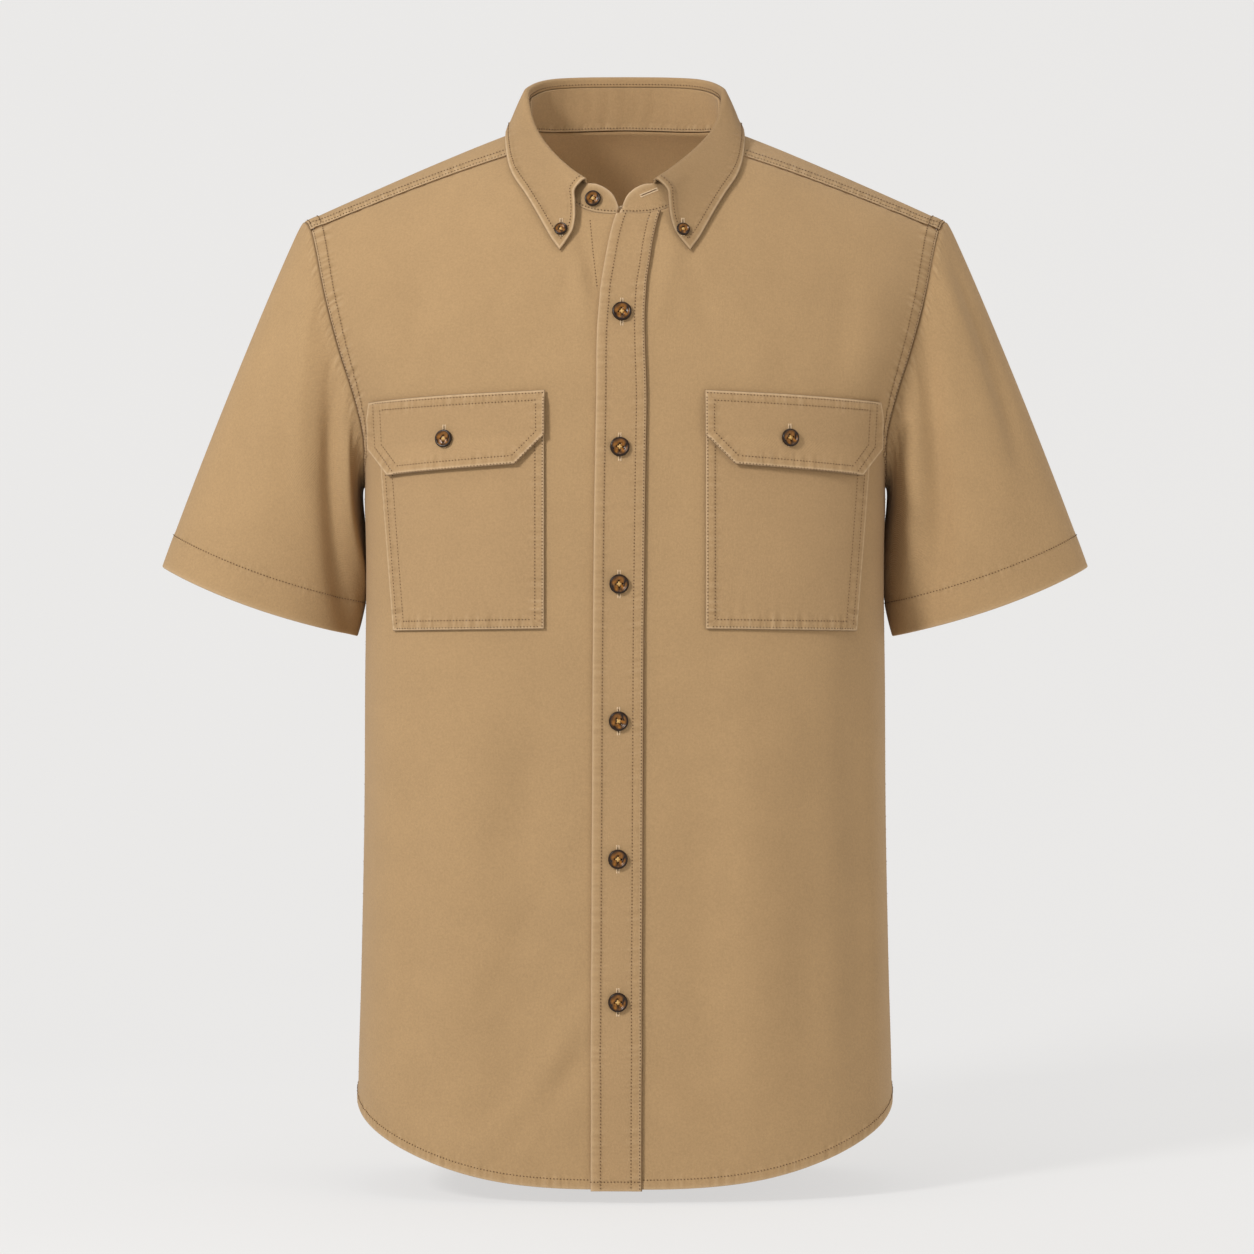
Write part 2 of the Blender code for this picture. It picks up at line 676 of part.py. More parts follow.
def yoke_outer_points():
    """The yoke's outer edge on the +X side: the armhole, then the back seam to its middle."""
    kappas = [mix(YOKE_FRONT_KAPPA, YOKE_BACK_KAPPA, step) for step in YOKE_SHOULDER_STEPS]
    points = [armhole_point(kappa) for kappa in kappas]
    corner = x_to_share(points[-1].x / half_width(BACK_YOKE_Z))
    for i in range(YOKE_BACK_STEPS + 1):
        x = half_width(BACK_YOKE_Z) * share_to_x(corner * (1 - i / YOKE_BACK_STEPS))
        point = form_point("back", x, BACK_YOKE_Z) + Vector((0, 0, HALF_GAP))
        if i == 0:
            points[-1] = point
        else:
            points.append(point)
    return points


def make_yoke():
    """Over both shoulders and down the back, with the neckline cut out of its middle."""
    shares = even_shares(FRONT_COLUMNS, SEAM_STRIP)[::2] + [1.0]
    half = []
    for psi, outer in zip(yoke_psis(), yoke_outer_points()):
        half.append([yoke_line(psi, outer, share) for share in shares])
    half[0] = [p + Vector((0, 0, HALF_GAP)) for p in half[0]]
    other = [[mirrored(p) for p in line] for line in half[:-1]]
    return sheet_object("yoke", half + other[::-1], PLY, CLOTH)


def sleeve_fold(kappa, along):
    height = 0.0
    for row in SLEEVE_FOLD_ROWS:
        fold = dict(zip(SLEEVE_FOLD_COLUMNS, row))
        part = (along - fold["along0"]) / (fold["along1"] - fold["along0"])
        middle = mix(fold["kappa0"], fold["kappa1"], part)
        off = (math.degrees(kappa) - middle + 180) % 360 - 180
        height += fold["height"] * fold_ends(part) * math.exp(-((off / fold["width"]) ** 2))
    return height


def sleeve_point(kappa, along):
    """A point of the sleeve at +X: along is -1 in the seam, 0 just past it and 1 at the cuff."""
    start = armhole_point(kappa)
    slope = SLEEVE_HEAD_SLOPE * max(math.cos(kappa), 0.0)
    leave = Vector((math.cos(slope), 0, -math.sin(slope)))
    start = start + leave * (SEAM_GAP if along < 0 else SEAM_GAP + SLEEVE_LIP)
    widest = Vector((math.cos(CUFF_TILT), 0, math.sin(CUFF_TILT)))
    down = Vector((math.sin(CUFF_TILT), 0, -math.cos(CUFF_TILT)))
    end = Vector(CUFF_CENTRE) + widest * CUFF_HALF_WIDTH * math.cos(kappa)
    end += Vector((0, -CUFF_HALF_DEPTH * math.sin(kappa), 0)) + down * CUFF_DROP * math.sin(kappa) ** 2
    leave_length = mix(HEAD_REACH_TOP, HEAD_REACH_FRONT, abs(math.sin(kappa)))
    arrive_length = mix(CUFF_REACH_UNDER, CUFF_REACH_TOP, (1 + math.cos(kappa)) / 2)
    a, b, c, d = start, start + leave * leave_length, end - down * arrive_length, end
    t = max(along, 0.0)
    point = a * (1 - t) ** 3 + b * (3 * t * (1 - t) ** 2) + c * (3 * t * t * (1 - t)) + d * t**3
    axis = mix(armhole_point(0), armhole_point(math.pi), 0.5)
    middle = mix(Vector((axis.x, 0, axis.z)), Vector(CUFF_CENTRE), t)
    out = (point - middle).normalized()
    return point + out * sleeve_fold(kappa, along)


def make_sleeve(name, wearer_side):
    rows = []
    for along in SLEEVE_STATIONS:
        row = [sleeve_point(kappa, along) for kappa in reversed(armhole_kappas())]
        rows.append([mirrored(p) for p in row] if wearer_side < 0 else row)
    return sheet_object(name, turned(rows, wearer_side < 0), PLY, CLOTH, closed=True)


def fold_line_point(psi_degrees):
    """Where the collar folds over, for psi from -160 to 160 degrees."""
    at = abs(psi_degrees)
    x, y, z = (read_table(FOLD_LINE_ROWS, FOLD_LINE_COLUMNS, "psi", c, at) for c in "xyz")
    slide = OPEN_NECK_SHIFT * smooth_step((at - SLIDE_START_PSI) / SLIDE_SPAN)
    return Vector((math.copysign(x, psi_degrees) + slide, y, z))


def neck_outward(psi_degrees):
    """The level direction away from the middle of the neck."""
    psi = math.radians(psi_degrees)
    along = neck_point(psi + 0.03) - neck_point(psi - 0.03)
    outward = Vector((along.y, -along.x, 0)).normalized()
    return outward if outward.dot(neck_point(psi) - Vector((0, -0.01, 0))) > 0 else -outward


def stand_top(turn):
    """The stand's top edge, turn -1 at the wearer's right end and 1 at the left one."""
    psi = turn * 180
    at = abs(psi)
    if at <= LEAF_END_PSI:
        drop = read_table(STAND_DROP_ROWS, STAND_DROP_COLUMNS, "psi", "drop", at)
        return fold_line_point(psi) - Vector((0, 0, drop + SEAM_GAP))
    x, y, z = (read_table(STAND_END_ROWS, STAND_END_COLUMNS, "psi", c, at) for c in "xyz")
    return Vector((math.copysign(x, psi) + OPEN_NECK_SHIFT, y, z - SEAM_GAP))


def stand_psi(turn):
    """Where on the neckline, in degrees, the stand is sewn at one turn."""
    return STAND_REACH * turn + NECK_TURN * turn**4


def stand_turns():
    """The stand's columns: its ends, the leaf's ends, and one at each step of the neckline."""
    turns = []
    for psi in neckline_psis():
        turn = psi / 180
        for _ in range(ROUNDS):
            turn = (psi - NECK_TURN * turn**4) / STAND_REACH
        turns.append(turn)
    fixed = (-1.0, -LEAF_END_PSI / 180, LEAF_END_PSI / 180, 1.0)
    kept = [turn for turn in turns if abs(turn) < 1 and min(abs(turn - end) for end in fixed) > STAND_TURN_STEP]
    return sorted(kept + list(fixed))


def make_collar_stand():
    """The band round the neck; its two ends stand open at the front."""
    rows = []
    for up in STAND_RISES:
        row = []
        for turn in stand_turns():
            foot = neck_point(math.radians(stand_psi(turn))) + Vector((0, 0, STAND_GAP))
            top = stand_top(turn)
            upright = foot + Vector((0, 0, STAND_UPRIGHT * (top.z - foot.z)))
            row.append(foot * (1 - up) ** 2 + upright * (2 * up * (1 - up)) + top * up**2)
        rows.append(row)
    return sheet_object("collar_stand", turned(rows, True), STAND_PLY, CLOTH)


def leaf_outline(psi_degrees):
    """The leaf from its seam on the stand, over the roll and down to its outer edge."""
    at = abs(psi_degrees)
    top = fold_line_point(psi_degrees)
    outward = neck_outward(psi_degrees)
    drop = read_table(STAND_DROP_ROWS, STAND_DROP_COLUMNS, "psi", "drop", at)
    up = Vector((0, 0, 1))
    points = [top - up * drop]
    tighter = smooth_step((at - ROLL_EASE_PSI) / (LEAF_END_PSI - ROLL_EASE_PSI))
    radius = mix(ROLL_RADIUS, ROLL_END_RADIUS, tighter)
    for degrees in ROLL_DEGREES:
        turn = math.radians(degrees)
        points.append(top + outward * radius * (1 - math.cos(turn)) + up * radius * (math.sin(turn) - 1))
    x = math.copysign(read_table(LEAF_EDGE_ROWS, LEAF_EDGE_COLUMNS, "psi", "x", at), psi_degrees)
    y = read_table(LEAF_EDGE_ROWS, LEAF_EDGE_COLUMNS, "psi", "y", at)
    z = over_shoulder(x, y)
    side = "front" if y < 0 else "back"
    edge = Vector((x, y, z)) + form_normal(side, x, z) * (LEAF_LIFT + LEAF_PLY)
    start = points[-1]
    guide = mix(start, edge, LEAF_GUIDE_SHARE) + outward * LEAF_GUIDE_OUT + up * LEAF_GUIDE_UP
    end_weight = smooth_step((at - LEAF_END_PSI + FRONT_EDGE_FADE) / FRONT_EDGE_FADE)
    for t in column(FRONT_EDGE_ROWS, FRONT_EDGE_COLUMNS, "down")[1:]:
        point = start * (1 - t) ** 2 + guide * 2 * t * (1 - t) + edge * t * t
        bow = read_table(FRONT_EDGE_ROWS, FRONT_EDGE_COLUMNS, "down", "bow", t) * end_weight
        points.append(point - Vector((math.copysign(bow, psi_degrees), 0, 0)))
    return points


def make_collar_leaf():
    turns = [turn for turn in stand_turns() if abs(turn) <= LEAF_END_PSI / 180]
    lines = [leaf_outline(180 * turn) for turn in turns]
    return sheet_object("collar_leaf", turned(lines, True), LEAF_PLY, CLOTH)


def lifted(side, x, z, lift):
    """A point of the form moved out by lift."""
    return form_point(side, x, z) + form_normal(side, x, z) * lift


def make_placket():
    """The buttonhole strip, from the neckline to the hem over both fronts."""
    top_edge = read_table(PLACKET_ROWS, PLACKET_COLUMNS, "z", "edge_x", PLACKET_TOP_Z)
    foot_z = hem_z("front", 0.0) - PLACKET_BELOW_HEM
    rows = []
    for i in range(PLACKET_ROWS_DOWN + 1):
        fall = (i / PLACKET_ROWS_DOWN) ** PLACKET_ROW_SPREAD
        row = []
        for j in range(PLACKET_COLUMNS_ACROSS + 1):
            width = PLACKET_WIDTH * j / PLACKET_COLUMNS_ACROSS
            top_z = neck_foot_z(top_edge + width * PLACKET_TOP_SHARE) - PLACKET_BELOW_NECK
            z = mix(top_z, foot_z, fall)
            wider = mix(PLACKET_TOP_SHARE, 1.0, smooth_step((top_z - z) / PLACKET_NECK))
            x = read_table(PLACKET_ROWS, PLACKET_COLUMNS, "z", "edge_x", z) + width * wider
            row.append(lifted("front", x, z, PLACKET_LIFT + PLACKET_PLY))
        rows.append(row)
    return sheet_object("placket", turned(rows, True), PLACKET_PLY, CLOTH)


def neck_foot_z(x):
    """Height of the neckline in the front view, just below the stand."""
    share = min(abs(x) / NECK_HALF_WIDTH, 1.0)
    return neck_point(math.pi - math.asin(share ** (NECK_FRONT_POWER / 2))).z


def corner_table(rows, columns):
    return {row[0]: (row[columns.index("x")], row[columns.index("z")]) for row in rows}


def patch_point(left, right, share, z_left, z_right):
    """A place in the front view between two edges, at even steps round the section."""
    start = x_to_share(left / half_width(z_left))
    end = x_to_share(right / half_width(z_right))
    z = mix(z_left, z_right, share)
    return half_width(z) * share_to_x(mix(start, end, share)), z


def make_pocket(name, wearer_side):
    """A patch on the front: its side towards the arm slants in a little."""
    corners = corner_table(POCKET_ROWS, POCKET_COLUMNS)
    rows = []
    for i in range(POCKET_ROWS_DOWN + 1):
        down = i / POCKET_ROWS_DOWN
        outer = [mix(a, b, down) for a, b in zip(corners["top_outer"], corners["bottom_outer"])]
        inner = [mix(a, b, down) for a, b in zip(corners["top_inner"], corners["bottom_inner"])]
        row = []
        for j in range(PATCH_COLUMNS + 1):
            x, z = patch_point(outer[0], inner[0], j / PATCH_COLUMNS, outer[1], inner[1])
            row.append(lifted("front", x * -wearer_side, z, POCKET_LIFT + POCKET_PLY))
        rows.append(row)
    return sheet_object(name, turned(rows, wearer_side < 0), POCKET_PLY, CLOTH)


def flap_lift(down):
    """The flap's outer face above the front: low at its seam, over the pocket below it."""
    over_pocket = POCKET_LIFT + POCKET_PLY + FLAP_LIFT
    rise = smooth_step(down / FLAP_CLIMB)
    return mix(POCKET_LIFT, over_pocket, rise) + FLAP_SPRING * down * down + FLAP_PLY


def make_flap(name, wearer_side):
    """A pocket flap with both lower corners cut off."""
    corners = corner_table(FLAP_ROWS, FLAP_COLUMNS)
    rows = []
    for down in FLAP_STATIONS:
        if down <= FLAP_CORNER_AT:
            part = down / FLAP_CORNER_AT
            outer = [mix(a, b, part) for a, b in zip(corners["top_outer"], corners["side_outer"])]
            inner = [mix(a, b, part) for a, b in zip(corners["top_inner"], corners["side_inner"])]
        else:
            part = (down - FLAP_CORNER_AT) / (1 - FLAP_CORNER_AT)
            outer = [mix(a, b, part) for a, b in zip(corners["side_outer"], corners["bottom_outer"])]
            inner = [mix(a, b, part) for a, b in zip(corners["side_inner"], corners["bottom_inner"])]
        row = []
        for j in range(PATCH_COLUMNS + 1):
            x, z = patch_point(outer[0], inner[0], j / PATCH_COLUMNS, outer[1], inner[1])
            row.append(lifted("front", x * -wearer_side, z, flap_lift(down)))
        rows.append(row)
    return sheet_object(name, turned(rows, wearer_side < 0), FLAP_PLY, CLOTH)


def button_mesh(diameter):
    """The turned profile of a button with a rim and a dished face, from its middle outwards and down."""
    mesh = bpy.data.meshes.new("button")
    points = [(r * diameter / 2, 0, h * diameter / 2) for r, h in BUTTON_PROFILE_ROWS]
    edges = [(i, i + 1) for i in range(len(points) - 1)]
    mesh.from_pydata(points, edges, [])
    return mesh


def seat_on(carrier, x, z, reach):
    """The carrier's outer face seen from the front: its mean normal, and a seat that clears it."""
    graph = bpy.context.evaluated_depsgraph_get()
    tree = BVHTree.FromObject(carrier, graph)
    normal = Vector((0, 0, 0))
    hits = []
    for step_x, step_z in ((0, 0), (reach, 0), (-reach, 0), (0, reach), (0, -reach)):
        hit, face_normal, _, _ = tree.ray_cast(Vector((x + step_x, -1, z + step_z)), Vector((0, 1, 0)))
        if hit is not None:
            hits.append(hit)
            normal += face_normal
    normal.normalize()
    middle = hits[0]
    proud = max((hit - middle).dot(normal) for hit in hits)
    return middle + normal * (max(proud, 0) + SEAM_GAP), normal


def make_buttons(pieces):
    meshes = {}
    for row in BUTTON_ROWS:
        button = dict(zip(BUTTON_COLUMNS, row))
        size = button["diameter"]
        if size not in meshes:
            meshes[size] = button_mesh(size)
        seat, normal = seat_on(pieces[button["carrier"]], button["x"], button["z"], size * BUTTON_FOOT)
        obj = bpy.data.objects.new(button["node"], meshes[size])
        if not meshes[size].materials:
            meshes[size].materials.append(HORN)
        SHIRT.objects.link(obj)
        obj.location = seat
        obj.rotation_mode = "QUATERNION"
        obj.rotation_quaternion = normal.to_track_quat("Z", "Y")
        spin = obj.modifiers.new("Turned", "SCREW")
        spin.angle = 2 * math.pi
        spin.steps = BUTTON_SIDES
        spin.render_steps = BUTTON_SIDES
        spin.axis = "Z"
        spin.use_merge_vertices = True
        spin.merge_threshold = 0.00005
        spin.use_smooth_shade = True


def clear_scene():
    for obj in list(bpy.data.objects):
        bpy.data.objects.remove(obj)


def make_shirt():
    pieces = {
        "front_right": make_front("front_right", -1),
        "front_left": make_front("front_left", 1),
        "back": make_back(),
        "yoke": make_yoke(),
        "sleeve_right": make_sleeve("sleeve_right", -1),
        "sleeve_left": make_sleeve("sleeve_left", 1),
        "collar_stand": make_collar_stand(),
        "collar_leaf": make_collar_leaf(),
        "placket": make_placket(),
        "pocket_right": make_pocket("pocket_right", -1),
        "pocket_left": make_pocket("pocket_left", 1),
        "flap_right": make_flap("flap_right", -1),
        "flap_left": make_flap("flap_left", 1),
    }
    bpy.context.view_layer.update()
    make_buttons(pieces)


clear_scene()
SHIRT = bpy.data.collections.new("work_shirt")
bpy.context.scene.collection.children.link(SHIRT)
CLOTH = make_material("khaki_twill", CLOTH_COLOUR, 0.85)
HORN = make_material("brown_horn", HORN_COLOUR, 0.28)
make_shirt()
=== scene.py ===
"""The look of a short-sleeved khaki work shirt: its cloth, seams, thread, buttons and studio."""

import math

import bpy
import numpy as np
from mathutils import Matrix, Vector
from mathutils.bvhtree import BVHTree
from mathutils.geometry import delaunay_2d_cdt


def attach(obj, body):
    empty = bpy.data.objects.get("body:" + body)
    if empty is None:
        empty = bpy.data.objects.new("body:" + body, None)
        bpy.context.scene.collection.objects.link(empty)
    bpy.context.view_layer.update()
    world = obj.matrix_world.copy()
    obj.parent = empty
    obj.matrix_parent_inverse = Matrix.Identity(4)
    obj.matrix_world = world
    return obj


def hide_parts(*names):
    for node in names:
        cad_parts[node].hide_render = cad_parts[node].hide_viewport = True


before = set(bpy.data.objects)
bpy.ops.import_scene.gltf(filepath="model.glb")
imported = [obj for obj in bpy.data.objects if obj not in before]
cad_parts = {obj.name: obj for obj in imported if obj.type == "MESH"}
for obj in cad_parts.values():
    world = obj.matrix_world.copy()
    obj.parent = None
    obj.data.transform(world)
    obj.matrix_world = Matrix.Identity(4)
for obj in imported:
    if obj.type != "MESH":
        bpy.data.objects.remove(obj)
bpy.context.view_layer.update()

# The shirt's form: the same sizes as its solids, in metres
PLY = 0.0016
HALF_GAP = 0.00015
CHEST_HALF_WIDTH = 0.1992
HEM_HALF_WIDTH = 0.2043
FRONT_DEPTH, BACK_DEPTH = 0.125, 0.120
SECTION_POWER = 3.0
FRONT_ROUNDING, BACK_ROUNDING = 0.352, 0.22
RIDGE_TOP, RIDGE_SLOPE, RIDGE_SOFTENING = 0.0862, 0.4649, 0.065
SHOULDER_TIP_Z, ARMPIT_Z = -0.0321, -0.235
FRONT_HEM_Z, BACK_HEM_Z, SIDE_HEM_Z = -0.7602, -0.7700, -0.7020
HEM_CURVE = 1.5
BACK_YOKE_Z = -0.062
ARMHOLE_FRONT, ARMHOLE_BACK = 0.051, 0.058
ARMHOLE_FRONT_EGG, ARMHOLE_BACK_EGG = 0.28, 0.15
ARMHOLE_MIDDLE = (SHOULDER_TIP_Z + ARMPIT_Z) / 2
ARMHOLE_HALF_HEIGHT = (SHOULDER_TIP_Z - ARMPIT_Z) / 2
YOKE_FRONT_KAPPA = math.radians(22.5)
YOKE_BACK_KAPPA = -math.acos((BACK_YOKE_Z - ARMHOLE_MIDDLE) / ARMHOLE_HALF_HEIGHT)
NECK_HALF_WIDTH, NECK_FRONT, NECK_BACK = 0.077, 0.0835, 0.0410
NECK_FRONT_POWER = 2.6
YOKE_FRONT_PSI, YOKE_CORNER_PSI = math.radians(115), math.radians(58)
JOIN_X, JOIN_HALF_GAP = 0.008, 0.0005
ARMHOLE_AT_PIT = 0.60
PLACKET_WIDTH, PLACKET_PLY, PLACKET_LIFT, PLACKET_TOP_Z = 0.0381, 0.0018, 0.0006, -0.0360
PLACKET_NARROW, PLACKET_NECK = 0.86, 0.16
POCKET_LIFT, POCKET_PLY = 0.0009, 0.0014
FLAP_PLY, FLAP_LIFT, FLAP_SPRING = 0.0018, 0.0009, 0.0016
FLAP_SIDE_AT = 0.58
SLEEVE_HEAD_SLOPE, SLEEVE_LIP = math.radians(24), 0.0015
CUFF_CENTRE = np.array((0.2834, 0.0, -0.3236))
CUFF_HALF_WIDTH, CUFF_HALF_DEPTH, CUFF_TILT, CUFF_DROP = 0.0769, 0.0520, math.radians(19.6), 0.0052
STAND_PLY, LEAF_PLY, ROLL_RADIUS, ROLL_END_RADIUS, LEAF_LIFT = 0.0020, 0.0017, 0.0027, 0.0025, 0.0011
LEAF_END_PSI, NECK_TURN, STAND_REACH = 160.0, 1.6, 179.83
STAND_GAP, STAND_UPRIGHT, OPEN_NECK_SHIFT = 0.0004, 0.15, -0.0035

# How the curves are worked out, the same as in the solids
ROUNDS, HALVINGS, FORM_STEP = 12, 32, 0.002
FOLD_OVERRUN, SLEEVE_FOLD_OVERRUN, FOLD_EASE = 0.25, 0.2, 0.5
HEAD_REACH_TOP, HEAD_REACH_FRONT = 0.005, 0.020
CUFF_REACH_UNDER, CUFF_REACH_TOP = 0.036, 0.100
NECK_OPENS_PSI, NECK_OPENS_OVER = 105, 50
ROLL_TIGHTENS_PSI, ROLL_TIGHTENS_OVER = 135, 25
NECK_MIDDLE, NECK_STEP = np.array((0, -0.01, 0)), 0.03
LEAF_SEAM_SHARES = (1.0, 0.86, 0.72, 0.5)
LEAF_ROLL_DEGREES = (0, 22, 45, 67, 90, 112, 135)
LEAF_ROLL_ROWS = len(LEAF_SEAM_SHARES) + len(LEAF_ROLL_DEGREES) - 1
LEAF_GUIDE_AT, LEAF_GUIDE_OUT, LEAF_GUIDE_UP = 0.45, 0.0012, 0.0015

# Sewing: the lines of stitches are given by their distance from an edge
STITCH_PITCH, STITCH_LENGTH, THREAD_RADIUS = 0.0025, 0.0011, 0.00040
EDGE_LINE, WIDE_LINE, ARMHOLE_LINE = 0.0018, 0.0072, 0.0100
HEM_LINE, CUFF_LINE, PLACKET_LINE = 0.0070, 0.0262, 0.0082
LEAF_LINE, LEAF_SEAM_LINE, LEAF_FRONT_LINE = 0.0066, 0.0022, 0.0050
THREAD_PROUD, CUFF_THREAD_PROUD, THREAD_SUNK = 0.00012, 0.00018, 0.4
HOLE_STITCH_PITCH, HALF_SLIT, SLIT_SHARE, SLIT_STITCHES = 0.00055, 0.00022, 0.44, 12
PUCKER_PITCH = 0.0085
# How far a turned-in ply reaches past the stitches that hold it
BAND_PAST, PATCH_PAST, CUFF_PAST, LEAF_PAST = 0.0008, 0.0006, 0.0005, 0.0007
# How wide the painted shade at a line of stitches, a pale rim of wear and painted highlight, a seam's dip and a
# join's dip are
LINE_MARK, RIM_WEAR_AND_HIGHLIGHT, SEAM_DIP, JOIN_DIP = 0.0008, 0.0012, 0.0012, 0.0016
SEAM_DEPTH, JOIN_DEPTH = 0.0003, 0.0006
# The pale ridge beside a seam, rubbed wear with a painted highlight: where it is, and how fast it fades
RIDGE_AT, RIDGE_FADE = 0.0007, 0.0006

# Steps of the finely divided panels, beside the closer ones at their seams
FRONT_COLUMNS, BACK_COLUMNS, YOKE_COLUMNS, SLEEVE_COLUMNS = 66, 90, 34, 200
FRONT_STEP, FRONT_NECK_STEP, BACK_STEP, BACK_ARMHOLE_STEP = 0.0027, 0.0024, 0.0040, 0.0036
YOKE_REACH, YOKE_STEP, SLEEVE_LENGTH, SLEEVE_STEP = 0.105, 0.0030, 0.245, 0.0034

WIDTH_COLUMNS = ("z", "half_width")
WIDTH_ROWS = (
    (-0.800, HEM_HALF_WIDTH),
    (-0.760, HEM_HALF_WIDTH),
    (-0.700, HEM_HALF_WIDTH),
    (-0.600, 0.2018),
    (-0.480, 0.1996),
    (-0.400, CHEST_HALF_WIDTH),
    (-0.260, CHEST_HALF_WIDTH),
    (-0.200, 0.2030),
    (-0.170, 0.2140),
    (-0.130, 0.2310),
    (-0.090, 0.2430),
    (-0.050, 0.2490),
    (0.000, 0.2530),
    (0.090, 0.2530),
)

# Folds of the body, a trough where the height is below zero
FOLD_COLUMNS = ("side", "x0", "z0", "x1", "z1", "width", "height")
FOLD_ROWS = (
    ("front", -0.195, -0.075, -0.178, -0.165, 0.020, 0.0030),
    ("front", 0.197, -0.080, 0.180, -0.170, 0.020, 0.0030),
    ("front", -0.050, -0.595, -0.125, -0.700, 0.022, -0.0022),
    ("front", -0.040, -0.690, -0.105, -0.745, 0.022, 0.0018),
    ("front", 0.150, -0.420, 0.162, -0.690, 0.030, -0.0030),
    ("front", 0.105, -0.450, 0.110, -0.720, 0.034, 0.0022),
    ("front", -0.140, -0.400, -0.150, -0.640, 0.034, 0.0020),
    ("front", -0.058, -0.085, -0.072, -0.145, 0.018, -0.0016),
    ("front", 0.060, -0.085, 0.076, -0.145, 0.018, -0.0016),
    ("back", -0.160, -0.120, -0.110, -0.300, 0.030, 0.0035),
    ("back", 0.162, -0.120, 0.108, -0.310, 0.030, 0.0035),
    ("back", -0.070, -0.330, -0.085, -0.690, 0.036, -0.0035),
    ("back", 0.060, -0.300, 0.082, -0.670, 0.036, -0.0032),
    ("back", -0.005, -0.260, 0.004, -0.720, 0.036, 0.0030),
    ("back", -0.140, -0.420, -0.150, -0.700, 0.032, 0.0026),
    ("back", 0.142, -0.400, 0.150, -0.690, 0.032, 0.0026),
)
# Slighter creases, too small for the solids
CREASE_ROWS = (
    ("front", -0.155, -0.420, -0.158, -0.700, 0.016, -0.0020),
    ("front", -0.112, -0.400, -0.116, -0.700, 0.020, 0.0018),
    ("front", -0.070, -0.420, -0.078, -0.660, 0.018, -0.0016),
    ("front", 0.052, -0.430, 0.060, -0.680, 0.018, -0.0014),
    ("front", 0.088, -0.400, 0.092, -0.700, 0.018, 0.0016),
    ("front", 0.128, -0.420, 0.135, -0.700, 0.018, -0.0022),
    ("front", 0.172, -0.380, 0.178, -0.660, 0.012, -0.0020),
    ("front", -0.160, -0.060, -0.130, -0.160, 0.016, -0.0014),
    ("front", 0.150, -0.070, 0.120, -0.160, 0.016, -0.0016),
    ("front", -0.030, -0.600, -0.100, -0.705, 0.010, -0.0022),
    ("front", -0.026, -0.655, -0.090, -0.735, 0.010, -0.0018),
    ("front", 0.018, -0.650, 0.078, -0.722, 0.012, -0.0018),
    ("front", -0.034, -0.040, -0.022, -0.092, 0.0045, -0.0016),
    ("front", -0.041, -0.060, -0.026, -0.110, 0.0060, 0.0014),
    ("front", 0.026, -0.042, 0.018, -0.080, 0.0045, -0.0014),
    ("front", 0.036, -0.062, 0.024, -0.118, 0.0070, 0.0012),
    ("front", -0.045, -0.520, -0.115, -0.640, 0.010, -0.0009),
    ("front", -0.035, -0.600, -0.090, -0.690, 0.007, 0.0007),
    ("front", -0.030, -0.640, -0.062, -0.735, 0.008, -0.0009),
    ("front", -0.100, -0.655, -0.135, -0.715, 0.010, 0.0007),
    ("front", 0.050, -0.560, 0.105, -0.640, 0.012, -0.0006),
    ("front", 0.171, -0.360, 0.174, -0.700, 0.013, -0.0024),
    ("front", 0.189, -0.300, 0.193, -0.690, 0.008, 0.0016),
    ("front", 0.120, -0.380, 0.128, -0.560, 0.016, 0.0010),
    ("front", 0.060, -0.700, 0.100, -0.740, 0.010, -0.0008),
    ("front", -0.060, -0.430, -0.100, -0.540, 0.018, -0.0010),
    ("front", -0.036, -0.075, -0.030, -0.130, 0.006, 0.0010),
    ("front", 0.024, -0.300, 0.070, -0.380, 0.012, -0.0005),
    ("front", -0.034, -0.480, -0.060, -0.560, 0.007, 0.0006),
    ("front", -0.180, -0.400, -0.176, -0.620, 0.010, 0.0008),
    ("front", -0.150, -0.085, -0.166, -0.160, 0.009, -0.0010),
    ("front", 0.168, -0.075, 0.160, -0.150, 0.010, -0.0012),
    ("front", 0.140, -0.070, 0.128, -0.150, 0.014, 0.0009),
    ("front", -0.090, -0.080, -0.100, -0.150, 0.012, -0.0007),
    ("front", -0.034, -0.055, -0.052, -0.115, 0.006, -0.0008),
    ("front", 0.045, -0.060, 0.062, -0.120, 0.007, -0.0008),
    ("back", -0.120, -0.200, -0.060, -0.330, 0.012, -0.0010),
    ("back", 0.118, -0.190, 0.062, -0.320, 0.012, -0.0010),
    ("back", -0.040, -0.450, -0.030, -0.700, 0.012, 0.0010),
    ("back", 0.045, -0.430, 0.036, -0.690, 0.012, -0.0009),
)

# Folds of a sleeve: kappa is 0 on top, 90 at the front and 180 under the arm
SLEEVE_FOLD_COLUMNS = ("sleeve", "kappa0", "along0", "kappa1", "along1", "width", "height")
SLEEVE_FOLD_ROWS = (
    ("left", 122, 0.18, 150, 0.85, 13, 0.0030),
    ("both", 62, 0.12, 78, 0.70, 14, 0.0025),
    ("both", -100, 0.12, -124, 0.90, 16, -0.0045),
    ("both", -60, 0.15, -75, 0.80, 15, 0.0025),
    ("both", 180, 0.30, 180, 1.30, 40, 0.0050),
    ("both", 180, -0.05, 180, 0.80, 32, 0.0038),
    ("right", 98, 0.08, 162, 1.00, 13, -0.0078),
    ("right", 122, 0.15, 172, 0.72, 10, 0.0034),
    ("right", 62, 0.06, 100, 0.60, 11, 0.0024),
    ("right", 40, 0.20, 50, 0.75, 12, -0.0012),
    ("left", 30, 0.15, 46, 0.72, 9, -0.0034),
    ("left", 50, 0.06, 66, 0.75, 10, 0.0034),
    ("left", 86, 0.06, 124, 0.85, 12, -0.0068),
    ("left", 112, 0.25, 146, 0.95, 11, 0.0030),
)

